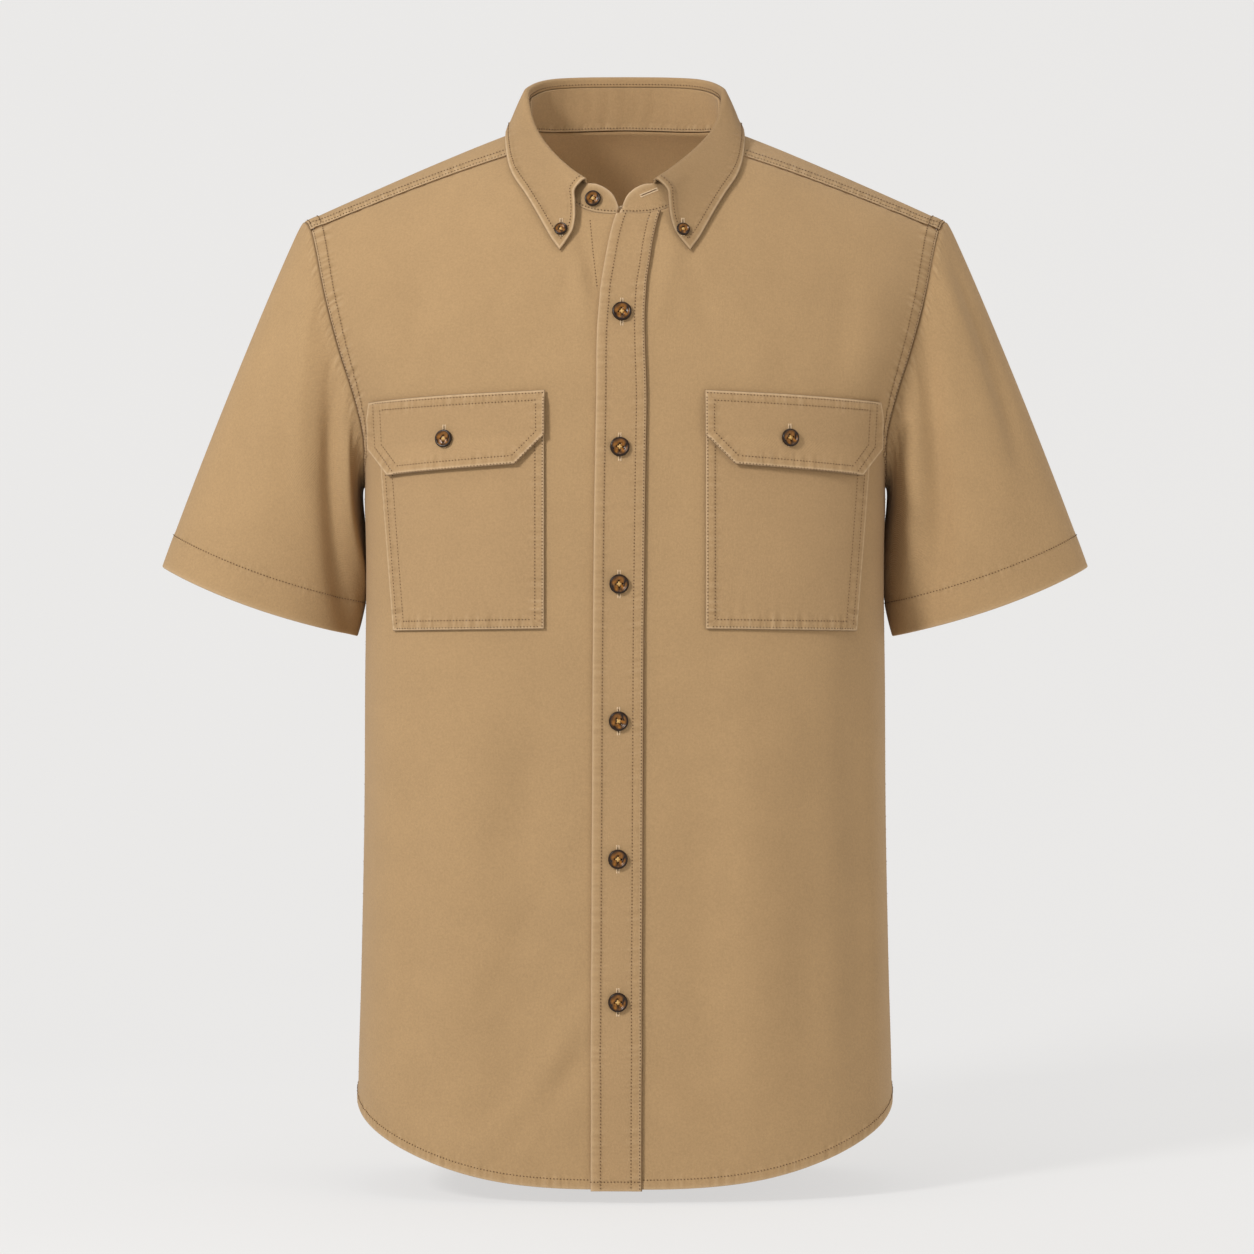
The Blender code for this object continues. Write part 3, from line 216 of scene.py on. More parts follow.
FOLD_LINE_COLUMNS = ("psi", "x", "y", "z")
FOLD_LINE_ROWS = (
    (0, 0.0000, 0.0360, 0.0845),
    (25, 0.0350, 0.0335, 0.0838),
    (50, 0.0585, 0.0225, 0.0806),
    (70, 0.0695, 0.0080, 0.0748),
    (90, 0.0735, -0.0090, 0.0655),
    (110, 0.0685, -0.0280, 0.0420),
    (135, 0.0510, -0.0510, 0.0165),
    (150, 0.0350, -0.0670, 0.0010),
    (LEAF_END_PSI, 0.0250, -0.0765, -0.0068),
)
STAND_DROP_COLUMNS = ("psi", "drop")
STAND_DROP_ROWS = ((0, 0.0082), (70, 0.0080), (110, 0.0070), (135, 0.0058), (150, 0.0040), (LEAF_END_PSI, 0.0032))
STAND_END_COLUMNS = ("psi", "x", "y", "z")
STAND_END_ROWS = (
    (LEAF_END_PSI, 0.0250, -0.0765, -0.0100),
    (166, 0.0180, -0.0790, -0.0108),
    (171, 0.0102, -0.0808, -0.0146),
    (176, 0.0044, -0.0822, -0.0208),
    (180, 0.0008, -0.0833, -0.0296),
)
LEAF_EDGE_COLUMNS = ("psi", "x", "y")
LEAF_EDGE_ROWS = (
    (0, 0.0000, 0.0530),
    (25, 0.0390, 0.0505),
    (50, 0.0680, 0.0380),
    (70, 0.0840, 0.0195),
    (90, 0.0897, -0.0070),
    (105, 0.0903, -0.0345),
    (120, 0.0862, -0.0545),
    (135, 0.0742, -0.0695),
    (150, 0.0570, -0.0858),
    (LEAF_END_PSI, 0.0485, -0.0912),
)
FRONT_EDGE_COLUMNS = ("down", "bow")
FRONT_EDGE_ROWS = (
    (0.00, -0.0010),
    (0.15, -0.0045),
    (0.35, -0.0010),
    (0.57, 0.0033),
    (0.75, 0.0048),
    (0.90, 0.0024),
    (1.00, 0.0000),
)
FRONT_EDGE_FADE = 26.0

PLACKET_COLUMNS = ("z", "edge_x")
PLACKET_ROWS = (
    (-0.800, -0.0254),
    (-0.760, -0.0254),
    (-0.450, -0.0243),
    (-0.340, -0.0237),
    (-0.180, -0.0215),
    (-0.105, -0.0196),
    (-0.070, -0.0150),
    (-0.040, -0.0085),
    (-0.030, -0.0050),
)

# A pocket and its flap on the wearer's right, in the front view; the left ones mirror them
POCKET = {
    "top_outer": (-0.1850, -0.1885),
    "top_inner": (-0.0595, -0.1845),
    "bottom_inner": (-0.0595, -0.3455),
    "bottom_outer": (-0.1722, -0.3470),
}
FLAP = {
    "top_outer": (-0.1915, -0.1745),
    "top_inner": (-0.0590, -0.1682),
    "side_inner": (-0.0590, -0.2020),
    "bottom_inner": (-0.0808, -0.2240),
    "bottom_outer": (-0.1740, -0.2310),
    "side_outer": (-0.1900, -0.2095),
}

BUTTON_COLUMNS = ("node", "carrier", "x", "z", "diameter", "turn")
BUTTON_ROWS = (
    ("button_front_1", "placket", -0.0023, -0.1094, 0.0146, 8),
    ("button_front_2", "placket", -0.0038, -0.2106, 0.0146, -4),
    ("button_front_3", "placket", -0.0043, -0.3122, 0.0146, 5),
    ("button_front_4", "placket", -0.0047, -0.4136, 0.0146, 38),
    ("button_front_5", "placket", -0.0052, -0.5157, 0.0146, -3),
    ("button_front_6", "placket", -0.0052, -0.6215, 0.0146, 6),
    ("button_neck", "collar_stand", -0.0240, -0.0225, 0.0122, 12),
    ("button_collar_right", "collar_leaf", -0.0478, -0.0465, 0.0102, 20),
    ("button_collar_left", "collar_leaf", 0.0434, -0.0465, 0.0102, -30),
    ("button_flap_right", "flap_right", -0.1345, -0.2040, 0.0135, 0),
    ("button_flap_left", "flap_left", 0.1225, -0.2035, 0.0135, 14),
)

# Where the button strip's stitching shows beside the placket, in the front view
UNDER_STRIP_LINE = ((-0.0262, -0.0390), (-0.0238, -0.0640), (-0.0205, -0.0930))


def read_table(rows, columns, key, value, at):
    """The value column where the key column equals at, on a smooth curve through the rows."""
    keys = np.array([row[columns.index(key)] for row in rows], float)
    values = np.array([row[columns.index(value)] for row in rows], float)
    slopes = np.gradient(values, keys)
    at = np.clip(at, keys[0], keys[-1])
    i = np.clip(np.searchsorted(keys, at, side="right") - 1, 0, len(keys) - 2)
    span = keys[i + 1] - keys[i]
    t = (at - keys[i]) / span
    rise = (3 - 2 * t) * t * t
    bend = t * (1 - t)
    return values[i] * (1 - rise) + values[i + 1] * rise + span * bend * (slopes[i] * (1 - t) - slopes[i + 1] * t)


def smooth_step(t):
    t = np.clip(t, 0.0, 1.0)
    return t * t * (3 - 2 * t)


def mix(a, b, t):
    return a + (b - a) * t


def join(*parts):
    return np.stack(np.broadcast_arrays(*parts), axis=-1)


def unit(vectors):
    return vectors / np.maximum(np.linalg.norm(vectors, axis=-1, keepdims=True), 1e-12)


def bell(away, width):
    """1 where away is 0, falling off smoothly over a width."""
    return np.exp(-((away / width) ** 2))


def run_lengths(line):
    """How far along a line each of its points is."""
    return np.concatenate([[0.0], np.cumsum(np.linalg.norm(np.diff(line, axis=0), axis=1))])


ANGLES = np.linspace(0.0, math.pi / 2, 721)
QUARTER_X = np.sin(ANGLES) ** (2 / SECTION_POWER)
QUARTER_Y = np.cos(ANGLES) ** (2 / SECTION_POWER)
LENGTHS = run_lengths(np.stack([QUARTER_X * CHEST_HALF_WIDTH, QUARTER_Y * FRONT_DEPTH], axis=1))
SHARES = LENGTHS / LENGTHS[-1]


def share_to_x(share):
    """x over the half width, at a share of the way round from the centre to the side."""
    return np.sign(share) * np.interp(np.abs(share), SHARES, QUARTER_X)


def x_to_share(ratio):
    return np.sign(ratio) * np.interp(np.abs(ratio), QUARTER_X, SHARES)


def half_width(z):
    return read_table(WIDTH_ROWS, WIDTH_COLUMNS, "z", "half_width", z)


def ridge_z(x):
    return RIDGE_TOP - RIDGE_SLOPE * np.hypot(x, RIDGE_SOFTENING)


def side_share(x, z):
    ratio = np.minimum(np.abs(x) / half_width(z), 1.0)
    return (1 - ratio**SECTION_POWER) ** (1 / SECTION_POWER)


def fold_ends(along, overrun):
    """A fold fades in before its start and out past its end."""
    return smooth_step((along + overrun) / FOLD_EASE) * smooth_step((1 + overrun - along) / FOLD_EASE)


def fold_height(side, x, z):
    """The folds and creases of the front or the back, and a faint unevenness of the cloth."""
    swell = np.sin(41 * x + 13 * z + 1.0) * np.sin(9 * x - 31 * z)
    height = 0.0003 * (swell + np.sin(83 * x - 47 * z + 2.0) * 0.5)
    for row in FOLD_ROWS + CREASE_ROWS:
        fold = dict(zip(FOLD_COLUMNS, row))
        if fold["side"] != side:
            continue
        run_x, run_z = fold["x1"] - fold["x0"], fold["z1"] - fold["z0"]
        away_x, away_z = x - fold["x0"], z - fold["z0"]
        along = (away_x * run_x + away_z * run_z) / (run_x**2 + run_z**2)
        across = np.hypot(away_x - run_x * along, away_z - run_z * along)
        height = height + fold["height"] * fold_ends(along, FOLD_OVERRUN) * bell(across, fold["width"])
    return height


def form_y(side, x, z):
    """Depth of the form at a place in the front or back view."""
    depth, rounding = (FRONT_DEPTH, FRONT_ROUNDING) if side == "front" else (BACK_DEPTH, BACK_ROUNDING)
    below = np.clip(ridge_z(x) - z, 0.0, rounding)
    rise = np.sqrt(1 - (1 - below / rounding) ** 2)
    flat = side_share(x, z)
    y = depth * flat * rise + fold_height(side, x, z) * np.minimum(flat * 2, 1.0) * np.minimum(rise * 2, 1.0)
    return -y if side == "front" else y


def form_point(side, x, z):
    return join(x, form_y(side, x, z), z)


def form_normal(side, x, z):
    step = FORM_STEP
    inward = -np.copysign(step, x)
    here = form_point(side, x, z)
    normal = unit(np.cross(form_point(side, x + inward, z) - here, form_point(side, x, z - step) - here))
    wanted = -1.0 if side == "front" else 1.0
    return normal * np.sign(normal[..., 1:2] * wanted)


def over_shoulder(x, y):
    """Height of the form above a place in the view from the top."""
    depth = np.where(y < 0, FRONT_DEPTH, BACK_DEPTH)
    rounding = np.where(y < 0, FRONT_ROUNDING, BACK_ROUNDING)
    z = ridge_z(x)
    for _ in range(ROUNDS):
        rise = np.minimum(np.abs(y) / (depth * np.maximum(side_share(x, z), 1e-3)), 0.999)
        z = ridge_z(x) - rounding * (1 - np.sqrt(1 - rise * rise))
    return z


def either_side(y, front, back):
    return np.where(y[..., None] < 0, front, back)


def armhole_point(kappa):
    """A point of the armhole on the +X side: kappa is 0 on top, and grows towards the front."""
    kappa = np.asarray(kappa, float)
    z = ARMHOLE_MIDDLE + ARMHOLE_HALF_HEIGHT * np.cos(kappa)
    ahead = np.sin(kappa) >= 0
    reach = np.where(ahead, ARMHOLE_FRONT, ARMHOLE_BACK)
    egg = np.where(ahead, ARMHOLE_FRONT_EGG, ARMHOLE_BACK_EGG)
    y = -reach * np.sin(kappa) * (1 - egg * np.cos(kappa))
    near, far = np.full_like(z, 0.10), half_width(z)
    for _ in range(HALVINGS):
        middle = (near + far) / 2
        depth = np.abs(np.where(ahead, form_y("front", middle, z), form_y("back", middle, z)))
        inside = depth > np.abs(y)
        near, far = np.where(inside, middle, near), np.where(inside, far, middle)
    run = (RIDGE_TOP - z) / RIDGE_SLOPE
    on_ridge = np.minimum(np.sqrt(np.maximum(run * run - RIDGE_SOFTENING**2, 0)), half_width(z))
    return join(np.where(np.abs(y) < 1e-6, on_ridge, (near + far) / 2), y, z)


def neck_point(psi):
    """A point of the neckline: psi is 0 at the back, pi at the front, and positive at +X."""
    across, along = np.sin(psi), np.cos(psi)
    power = 2 / NECK_FRONT_POWER
    x = NECK_HALF_WIDTH * np.where(along > 0, across, np.sign(across) * np.abs(across) ** power)
    y = np.where(along > 0, NECK_BACK * along, -NECK_FRONT * np.abs(along) ** power)
    z = over_shoulder(x, y)
    return either_side(y, form_point("front", x, z), form_point("back", x, z))


def hem_z(side, share):
    low = FRONT_HEM_Z if side == "front" else BACK_HEM_Z
    return mix(low, SIDE_HEM_Z, (1 - np.cos(math.pi * np.minimum(np.abs(share), 1.0) ** HEM_CURVE)) / 2)


def across_form(side, inner, outer, share):
    """A point of the form between two others, at even steps round the section."""
    start = x_to_share(inner[..., 0] / half_width(inner[..., 2]))
    end = x_to_share(outer[..., 0] / half_width(outer[..., 2]))
    z = mix(inner[..., 2], outer[..., 2], share)
    return form_point(side, half_width(z) * share_to_x(mix(start, end, share)), z)


def shoulder_angle(point):
    rounding = np.where(point[..., 1] < 0, FRONT_ROUNDING, BACK_ROUNDING)
    below = np.clip(ridge_z(point[..., 0]) - point[..., 2], 0.0, rounding)
    return np.copysign(np.arccos(1 - below / rounding), point[..., 1])


def shoulder_point(x, angle):
    rounding = np.where(angle < 0, FRONT_ROUNDING, BACK_ROUNDING)
    z = ridge_z(x) - rounding * (1 - np.cos(angle))
    return either_side(angle, form_point("front", x, z), form_point("back", x, z))


def yoke_line(inner, outer, share):
    angle = mix(shoulder_angle(inner), shoulder_angle(outer), share)
    return shoulder_point(mix(inner[..., 0], outer[..., 0], share), angle)


# Relief of the sewn cloth


def ripples(along, pitch, seed):
    """Small uneven waves along a seam, between -1 and 1."""
    waves = 0.0
    for share, size, turn in ((1.0, 1.0, 0.0), (0.8, 1.43, 1.9), (0.7, 0.71, 4.1)):
        waves = waves + share * np.sin(2 * math.pi * along / (pitch * size) + seed * 2.3 + turn)
    slow = 0.6 + 0.4 * np.sin(along / 0.041 + seed)
    return waves / 1.6 * slow


def sewn_relief(away, along, lines, band, seed, rise=0.00070, pucker=0.00040):
    """Cloth beside a seam: the turned-in ply under the band, dents at the stitches, and puckers."""
    height = rise * smooth_step((band + 0.0007 - away) / 0.0014)
    for line in lines:
        dimple = 0.75 + 0.25 * np.cos(2 * math.pi * along / STITCH_PITCH)
        height = height - 0.00028 * bell(away - line, 0.0011) * dimple
    reach = smooth_step(away / 0.0012) * smooth_step((band * 2.1 - away) / (band * 1.3))
    return height + pucker * ripples(along, PUCKER_PITCH, seed) * reach


def rim_wear_and_highlight(away):
    """How pale a free edge is: rubbed wear, with a painted highlight along its fold."""
    return np.exp(-away / RIM_WEAR_AND_HIGHLIGHT)


def ridge_wear_and_highlight(away):
    """How pale the ridge beside a seam is: rubbed wear, with a painted highlight on its crest."""
    return np.exp(-np.abs(away - RIDGE_AT) / RIDGE_FADE)


def seam_bands(*bands):
    """Where the cloth beside its seams puckers, and how far along the nearest seam each point is."""
    drawn, run = 0.0, 0.0
    for away, along, band, share in bands:
        reach = share * smooth_step(away / 0.0008) * smooth_step((band * 2.0 - away) / (band * 1.1))
        run = np.where(reach > drawn, along, run)
        drawn = np.maximum(reach, drawn)
    return drawn, run


def upright_grain(points):
    """The cut of a panel whose threads hang straight: how far round the section, and the height."""
    across = points[..., 0] / half_width(points[..., 2])
    return np.stack([x_to_share(np.clip(across, -1, 1)) * LENGTHS[-1], points[..., 2]], axis=-1)


def rolled_edge(away, radius=0.0009, fall=0.0007):
    """A folded edge rounds off towards its rim."""
    near = np.clip(1 - away / radius, 0.0, 1.0)
    return -fall * (1 - np.sqrt(1 - np.minimum(near, 0.999) ** 2))


def steps_between(length, spacing, fine_start=(), fine_end=()):
    """Shares of a length: given distances at its ends, and even steps of about one spacing between."""
    start, end = list(fine_start) or [0.0], list(fine_end) or [0.0]
    middle_start, middle_end = start[-1], length - end[-1]
    count = max(2, round((middle_end - middle_start) / spacing))
    middle = np.linspace(middle_start, middle_end, count + 1)
    places = start[:-1] + list(middle) + [length - d for d in reversed(end[:-1])]
    return np.array(places) / length


SEAM_STEPS = (0.0, 0.0006, 0.0013, 0.0021, 0.0034, 0.0052, 0.0072, 0.0090, 0.0100, 0.0110, 0.0125, 0.0150)
HEM_STEPS = (0.0, 0.0005, 0.0012, 0.0024, 0.0040, 0.0056, 0.0066, 0.0074, 0.0084, 0.0105)
SEAM_STEPS_SLEEVE = (0.0, 0.0012, 0.0026)
CUFF_STEPS = (0.0, 0.0005, 0.0012, 0.0030, 0.0065, 0.0105, 0.0150, 0.0195, 0.0222)
CUFF_STEPS += (0.0234, 0.0243, 0.0252, 0.0262, 0.0275, 0.0295)
LEAF_EDGE_STEPS = (0.0, 0.0005, 0.0011, 0.0019, 0.0030, 0.0048, 0.0062, 0.0072, 0.0082, 0.0100)


def grid_distances(points):
    """Distances over the cloth from the grid's four edges."""
    over = np.linalg.norm(np.diff(points, axis=1), axis=2)
    left = np.concatenate([np.zeros((len(points), 1)), np.cumsum(over, axis=1)], axis=1)
    up = np.linalg.norm(np.diff(points, axis=0), axis=2)
    bottom = np.concatenate([np.zeros((1, points.shape[1])), np.cumsum(up, axis=0)], axis=0)
    return {"left": left, "right": left[:, -1:] - left, "bottom": bottom, "top": bottom[-1:] - bottom}


def grid_normals(points, turn, closed=False):
    if closed:
        along = np.roll(points, -1, axis=1) - np.roll(points, 1, axis=1)
    else:
        along = np.gradient(points, axis=1)
    normals = unit(np.cross(along, np.gradient(points, axis=0)))
    return -normals if turn else normals


def polyline_distance(points, line):
    """How far each point is from a line, and how far along the line its nearest place is."""
    flat = points.reshape(-1, 3)
    best, along = np.full(len(flat), 1e9), np.zeros(len(flat))
    for start, end, at in zip(line, line[1:], run_lengths(line)):
        run = end - start
        size = max(float(run @ run), 1e-12)
        t = np.clip((flat - start) @ run / size, 0.0, 1.0)
        away = np.linalg.norm(flat - start - t[:, None] * run, axis=1)
        nearer = away < best
        best = np.where(nearer, away, best)
        along = np.where(nearer, at + t * math.sqrt(size), along)
    return best.reshape(points.shape[:2]), along.reshape(points.shape[:2])


PANELS = {}
TREES = {}


def placed(name, data):
    obj = bpy.data.objects.new(name, data)
    bpy.context.scene.collection.objects.link(obj)
    return obj


def cloth_piece(
    name, points, relief, ply, material, turn=False, closed=False, wear_and_highlight=0.0, shaded=0.0, seams=(0.0, 0.0), grain=None
):
    """A panel: the grid moved out by its relief, with the wall of the cloth inwards from it."""
    spread = grid_distances(points)
    points = points + grid_normals(points, turn, closed) * relief[..., None]
    rows, columns = points.shape[:2]
    index = np.arange(rows * columns).reshape(rows, columns)
    if closed:
        index = np.concatenate([index, index[:, :1]], axis=1)
    quads = [index[:-1, :-1], index[:-1, 1:], index[1:, 1:], index[1:, :-1]]
    if turn:
        quads.reverse()
    faces = np.stack(quads, axis=-1).reshape(-1, 4)
    mesh = bpy.data.meshes.new(name)
    mesh.from_pydata(points.reshape(-1, 3).tolist(), [], faces.tolist())
    cut = (np.stack([spread["left"], spread["bottom"]], axis=-1) if grain is None else grain).reshape(-1, 2)
    layer = mesh.uv_layers.new(name="cut")
    layer.data.foreach_set("uv", cut[faces.reshape(-1)].ravel().astype(np.float32))
    # Per point: pale wear with painted highlight, painted shade, how much the seams pucker, and how far along the
    # seam
    wear_and_painted_light = np.zeros((rows, columns, 4), np.float32)
    wear_and_painted_light[..., 0], wear_and_painted_light[..., 1] = wear_and_highlight, shaded
    wear_and_painted_light[..., 2], wear_and_painted_light[..., 3] = seams
    mesh.attributes.new("wear_and_painted_light", "FLOAT_COLOR", "POINT").data.foreach_set("color", wear_and_painted_light.ravel())
    mesh.shade_smooth()
    mesh.materials.append(material)
    obj = placed(name + "_cloth", mesh)
    wall = obj.modifiers.new("Wall", "SOLIDIFY")
    wall.thickness, wall.offset, wall.use_rim = ply, -1.0, True
    normals = grid_normals(points, turn, closed)
    PANELS[name] = {"points": points, "normals": normals, "spread": spread, "object": obj}
    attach(obj, "root")
    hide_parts(name)


def tree_of(name):
    """The finished surface of a piece, for laying thread and buttons on it."""
    if name not in TREES:
        bpy.context.view_layer.update()
        TREES[name] = BVHTree.FromObject(PANELS[name]["object"], bpy.context.evaluated_depsgraph_get())
    return TREES[name]


# Panels


def front_grid(wearer_side):
    join_x = JOIN_X + JOIN_HALF_GAP * wearer_side
    lower = steps_between(ARMPIT_Z - FRONT_HEM_Z, FRONT_STEP, HEM_STEPS)
    inner_share = x_to_share(join_x * wearer_side / CHEST_HALF_WIDTH)

    def lower_rows(shares):
        around = mix(inner_share, 1.0, shares)
        z = mix(hem_z("front", around), ARMPIT_Z, lower[:-1, None])
        x = half_width(z) * share_to_x(around) * wearer_side
        return form_point("front", np.where(shares == 0, join_x, x), z)

    neck_share = (join_x / NECK_HALF_WIDTH) ** (NECK_FRONT_POWER / 2)
    first = math.pi - wearer_side * math.asin(neck_share)
    pit = neck_point(np.array([first]))[0]
    open_steps = steps_between(0.20, FRONT_STEP)[:-1]
    neck_steps = steps_between(0.125, FRONT_NECK_STEP, (), SEAM_STEPS[:8])
    psis = mix(first, YOKE_FRONT_PSI, neck_steps)
    opening = form_point("front", np.full(len(open_steps), join_x), mix(ARMPIT_Z, pit[2], open_steps))
    neckline = neck_point(psis) * np.array((1 if wearer_side > 0 else -1, 1, 1))
    inner = np.concatenate([opening, neckline])[:, None]
    rises = np.concatenate([ARMHOLE_AT_PIT * open_steps, mix(ARMHOLE_AT_PIT, 1.0, neck_steps)])
    outer = armhole_point(mix(math.pi, YOKE_FRONT_KAPPA, rises)) * np.array((wearer_side, 1, 1))
    near_yoke = smooth_step((rises - ARMHOLE_AT_PIT) / (1 - ARMHOLE_AT_PIT))[:, None]

    def upper_rows(shares):
        point = across_form("front", inner, outer[:, None], shares)
        corner = armhole_point(np.array([YOKE_FRONT_KAPPA]))
        start = neck_point(np.array([YOKE_FRONT_PSI]))
        seam = yoke_line(start[:, None], corner[:, None], shares)
        end = across_form("front", start[:, None], corner[:, None], shares)
        x = point[..., 0] + (seam - end)[..., 0] * near_yoke * wearer_side
        return form_point("front", x, point[..., 2] + (seam - end)[..., 2] * near_yoke)

    return lower_rows, upper_rows, len(lower) - 1


def even_out(rows_of, count, fine_start=(0.0,), fine_end=(0.0,)):
    """Rows laid again with count even columns over the cloth, and closer ones beside a seam."""
    trial = np.linspace(0.0, 1.0, 61)
    shares = []
    for row in grid_distances(rows_of(trial[None, :]))["left"]:
        middle = np.linspace(fine_start[-1], row[-1] - fine_end[-1], count + 1)
        places = np.concatenate([fine_start[:-1], middle, row[-1] - np.array(fine_end[-2::-1])])
        shares.append(np.interp(places, row, trial))
    return rows_of(np.array(shares))


def make_front(name, wearer_side, cloth):
    lower_rows, upper_rows, pit_row = front_grid(wearer_side)
    rows = [even_out(part, FRONT_COLUMNS, fine_end=SEAM_STEPS) for part in (lower_rows, upper_rows)]
    points = np.concatenate(rows) - np.array((0, HALF_GAP, 0))
    points[-1, :, 2] -= HALF_GAP
    spread = grid_distances(points)
    side, hem, join_side, across = (spread[edge] for edge in ("right", "bottom", "top", "left"))
    up = run_lengths(points[:, -1])[:, None]
    on_armhole = smooth_step((np.arange(len(points)) - pit_row) / 8)[:, None]
    relief = sewn_relief(side, up, (EDGE_LINE, ARMHOLE_LINE), ARMHOLE_LINE + BAND_PAST, 1.0 + wearer_side)
    relief = relief * on_armhole
    relief = relief + sewn_relief(hem, across, (HEM_LINE,), HEM_LINE + PATCH_PAST, 3.0 + wearer_side)
    relief = relief - SEAM_DEPTH * bell(side, SEAM_DIP) - JOIN_DEPTH * bell(join_side, JOIN_DIP)
    relief = relief + 0.0002 * ripples(across, 0.013, 5.0) * bell(join_side, 0.012)
    # Pale wear with a painted highlight on the hem's rim and the ridge by the armhole; painted shade at the join
    # with the yoke and at the armhole stitches
    wear_and_highlight = rim_wear_and_highlight(hem) + 0.7 * ridge_wear_and_highlight(side) * on_armhole
    shaded = bell(join_side, 0.0011) + 0.5 * bell(side - ARMHOLE_LINE, LINE_MARK) * on_armhole
    bands = ((side, up, ARMHOLE_LINE, on_armhole), (hem, across, HEM_LINE, 0.6), (join_side, across, EDGE_LINE, 0.5))
    wear_and_painted_light = {"wear_and_highlight": wear_and_highlight, "shaded": shaded, "seams": seam_bands(*bands), "grain": upright_grain(points)}
    cloth_piece(name, points, relief, PLY, cloth, turn=wearer_side < 0, **wear_and_painted_light)


def make_back(cloth):
    lower = steps_between(ARMPIT_Z - BACK_HEM_Z, BACK_STEP, HEM_STEPS)

    def lower_rows(shares):
        around = 2 * shares - 1
        z = mix(hem_z("back", around), ARMPIT_Z, lower[:-1, None])
        return form_point("back", half_width(z) * share_to_x(around), z)

    upper = steps_between(0.175, BACK_ARMHOLE_STEP, (), SEAM_STEPS[:6])
    outer = armhole_point(mix(-math.pi, YOKE_BACK_KAPPA, upper))
    z = outer[:, None, 2].copy()
    z[-1] = BACK_YOKE_Z - HALF_GAP
    reach = x_to_share(np.minimum(outer[:, None, 0] / half_width(z), 1.0))

    def upper_rows(shares):
        height = np.broadcast_to(z, (len(z), shares.shape[1]))
        return form_point("back", half_width(height) * share_to_x((2 * shares - 1) * reach), height)

    rows = [even_out(part, BACK_COLUMNS, SEAM_STEPS, SEAM_STEPS) for part in (lower_rows, upper_rows)]
    points = np.concatenate(rows) + np.array((0, HALF_GAP, 0))
    spread = grid_distances(points)
    hem, across = spread["bottom"], spread["left"]
    side = np.minimum(across, spread["right"])
    up = run_lengths(points[:, -1])[:, None]
    on_armhole = smooth_step((np.arange(len(points)) - len(lower) + 1) / 6)[:, None]
    relief = sewn_relief(side, up, (EDGE_LINE, ARMHOLE_LINE), ARMHOLE_LINE + BAND_PAST, 2.0) * on_armhole
    relief = relief + sewn_relief(side, up, (EDGE_LINE, WIDE_LINE), WIDE_LINE + BAND_PAST, 4.0) * (1 - on_armhole)
    relief = relief + sewn_relief(hem, across, (HEM_LINE,), HEM_LINE + PATCH_PAST, 6.0)
    relief = relief - JOIN_DEPTH * bell(spread["top"], JOIN_DIP)
    # Pale wear with a painted highlight on the hem's rim and on the ridges beside the side seams
    wear_and_highlight = rim_wear_and_highlight(hem) + 0.6 * ridge_wear_and_highlight(side)
    seams = seam_bands((side, up, ARMHOLE_LINE, 1.0), (hem, across, HEM_LINE, 1.0))
    cloth_piece("back", points, relief, PLY, cloth, turn=True, wear_and_highlight=wear_and_highlight, seams=seams, grain=upright_grain(points))


def make_yoke(cloth):
    """Over both shoulders and down the back, from the armholes to the neckline."""
    over = steps_between(YOKE_REACH, YOKE_STEP, SEAM_STEPS[:9])
    behind = np.linspace(1.0, 0.0, 52)
    shoulder = armhole_point(mix(YOKE_FRONT_KAPPA, YOKE_BACK_KAPPA, over))
    corner = x_to_share(shoulder[-1, 0] / half_width(BACK_YOKE_Z))
    x = half_width(BACK_YOKE_Z) * share_to_x(corner * behind)
    seam = form_point("back", x, np.full(len(x), BACK_YOKE_Z)) + np.array((0, 0, HALF_GAP))
    outer = np.concatenate([shoulder[:-1], seam])[:, None]
    psis = np.concatenate([mix(YOKE_FRONT_PSI, YOKE_CORNER_PSI, over)[:-1], YOKE_CORNER_PSI * behind])
    inner = neck_point(psis)[:, None]

    def half_rows(shares):
        return yoke_line(inner, outer, shares)

    half = even_out(half_rows, YOKE_COLUMNS, fine_end=SEAM_STEPS)
    half[0, :, 2] += HALF_GAP
    points = np.concatenate([half, half[-2::-1] * np.array((-1, 1, 1))])
    spread = grid_distances(points)
    side, across = spread["right"], spread["left"]
    ends = np.minimum(spread["bottom"], spread["top"])
    rows = np.arange(len(points))
    from_corner = np.minimum(rows, len(points) - 1 - rows)
    on_armhole = smooth_step((len(shoulder) + 1 - from_corner) / 4)[:, None]
    up = run_lengths(points[:, -1])[:, None]
    lines, band = (EDGE_LINE, WIDE_LINE), WIDE_LINE + BAND_PAST
    relief = sewn_relief(side, up, (EDGE_LINE, ARMHOLE_LINE), ARMHOLE_LINE + BAND_PAST, 3.0) * on_armhole
    relief = relief + sewn_relief(side, up, lines, band, 7.0, 0.0008) * (1 - on_armhole)
    relief = relief + sewn_relief(ends, across, lines, band, 9.0, 0.0008) + rolled_edge(ends)
    # Pale wear with a painted highlight on the rims and seam ridges; painted shade at the lines of stitches
    wear_and_highlight = rim_wear_and_highlight(ends) + 0.6 * ridge_wear_and_highlight(side)
    shaded = 0.5 * bell(ends - WIDE_LINE, LINE_MARK)
    seams = seam_bands((side, up, WIDE_LINE, 1.0), (ends, across, WIDE_LINE, 1.0))
    grain = points[..., :2] * 1.1
    cloth_piece("yoke", points, relief, PLY, cloth, wear_and_highlight=wear_and_highlight, shaded=shaded, seams=seams, grain=grain)


def sleeve_folds(which, kappa, along):
    height = 0.0
    for row in SLEEVE_FOLD_ROWS:
        fold = dict(zip(SLEEVE_FOLD_COLUMNS, row))
        if fold["sleeve"] not in ("both", which):
            continue
        part = (along - fold["along0"]) / (fold["along1"] - fold["along0"])
        off = (np.degrees(kappa) - mix(fold["kappa0"], fold["kappa1"], part) + 180) % 360 - 180
        height = height + fold["height"] * fold_ends(part, SLEEVE_FOLD_OVERRUN) * bell(off, fold["width"])
    return height


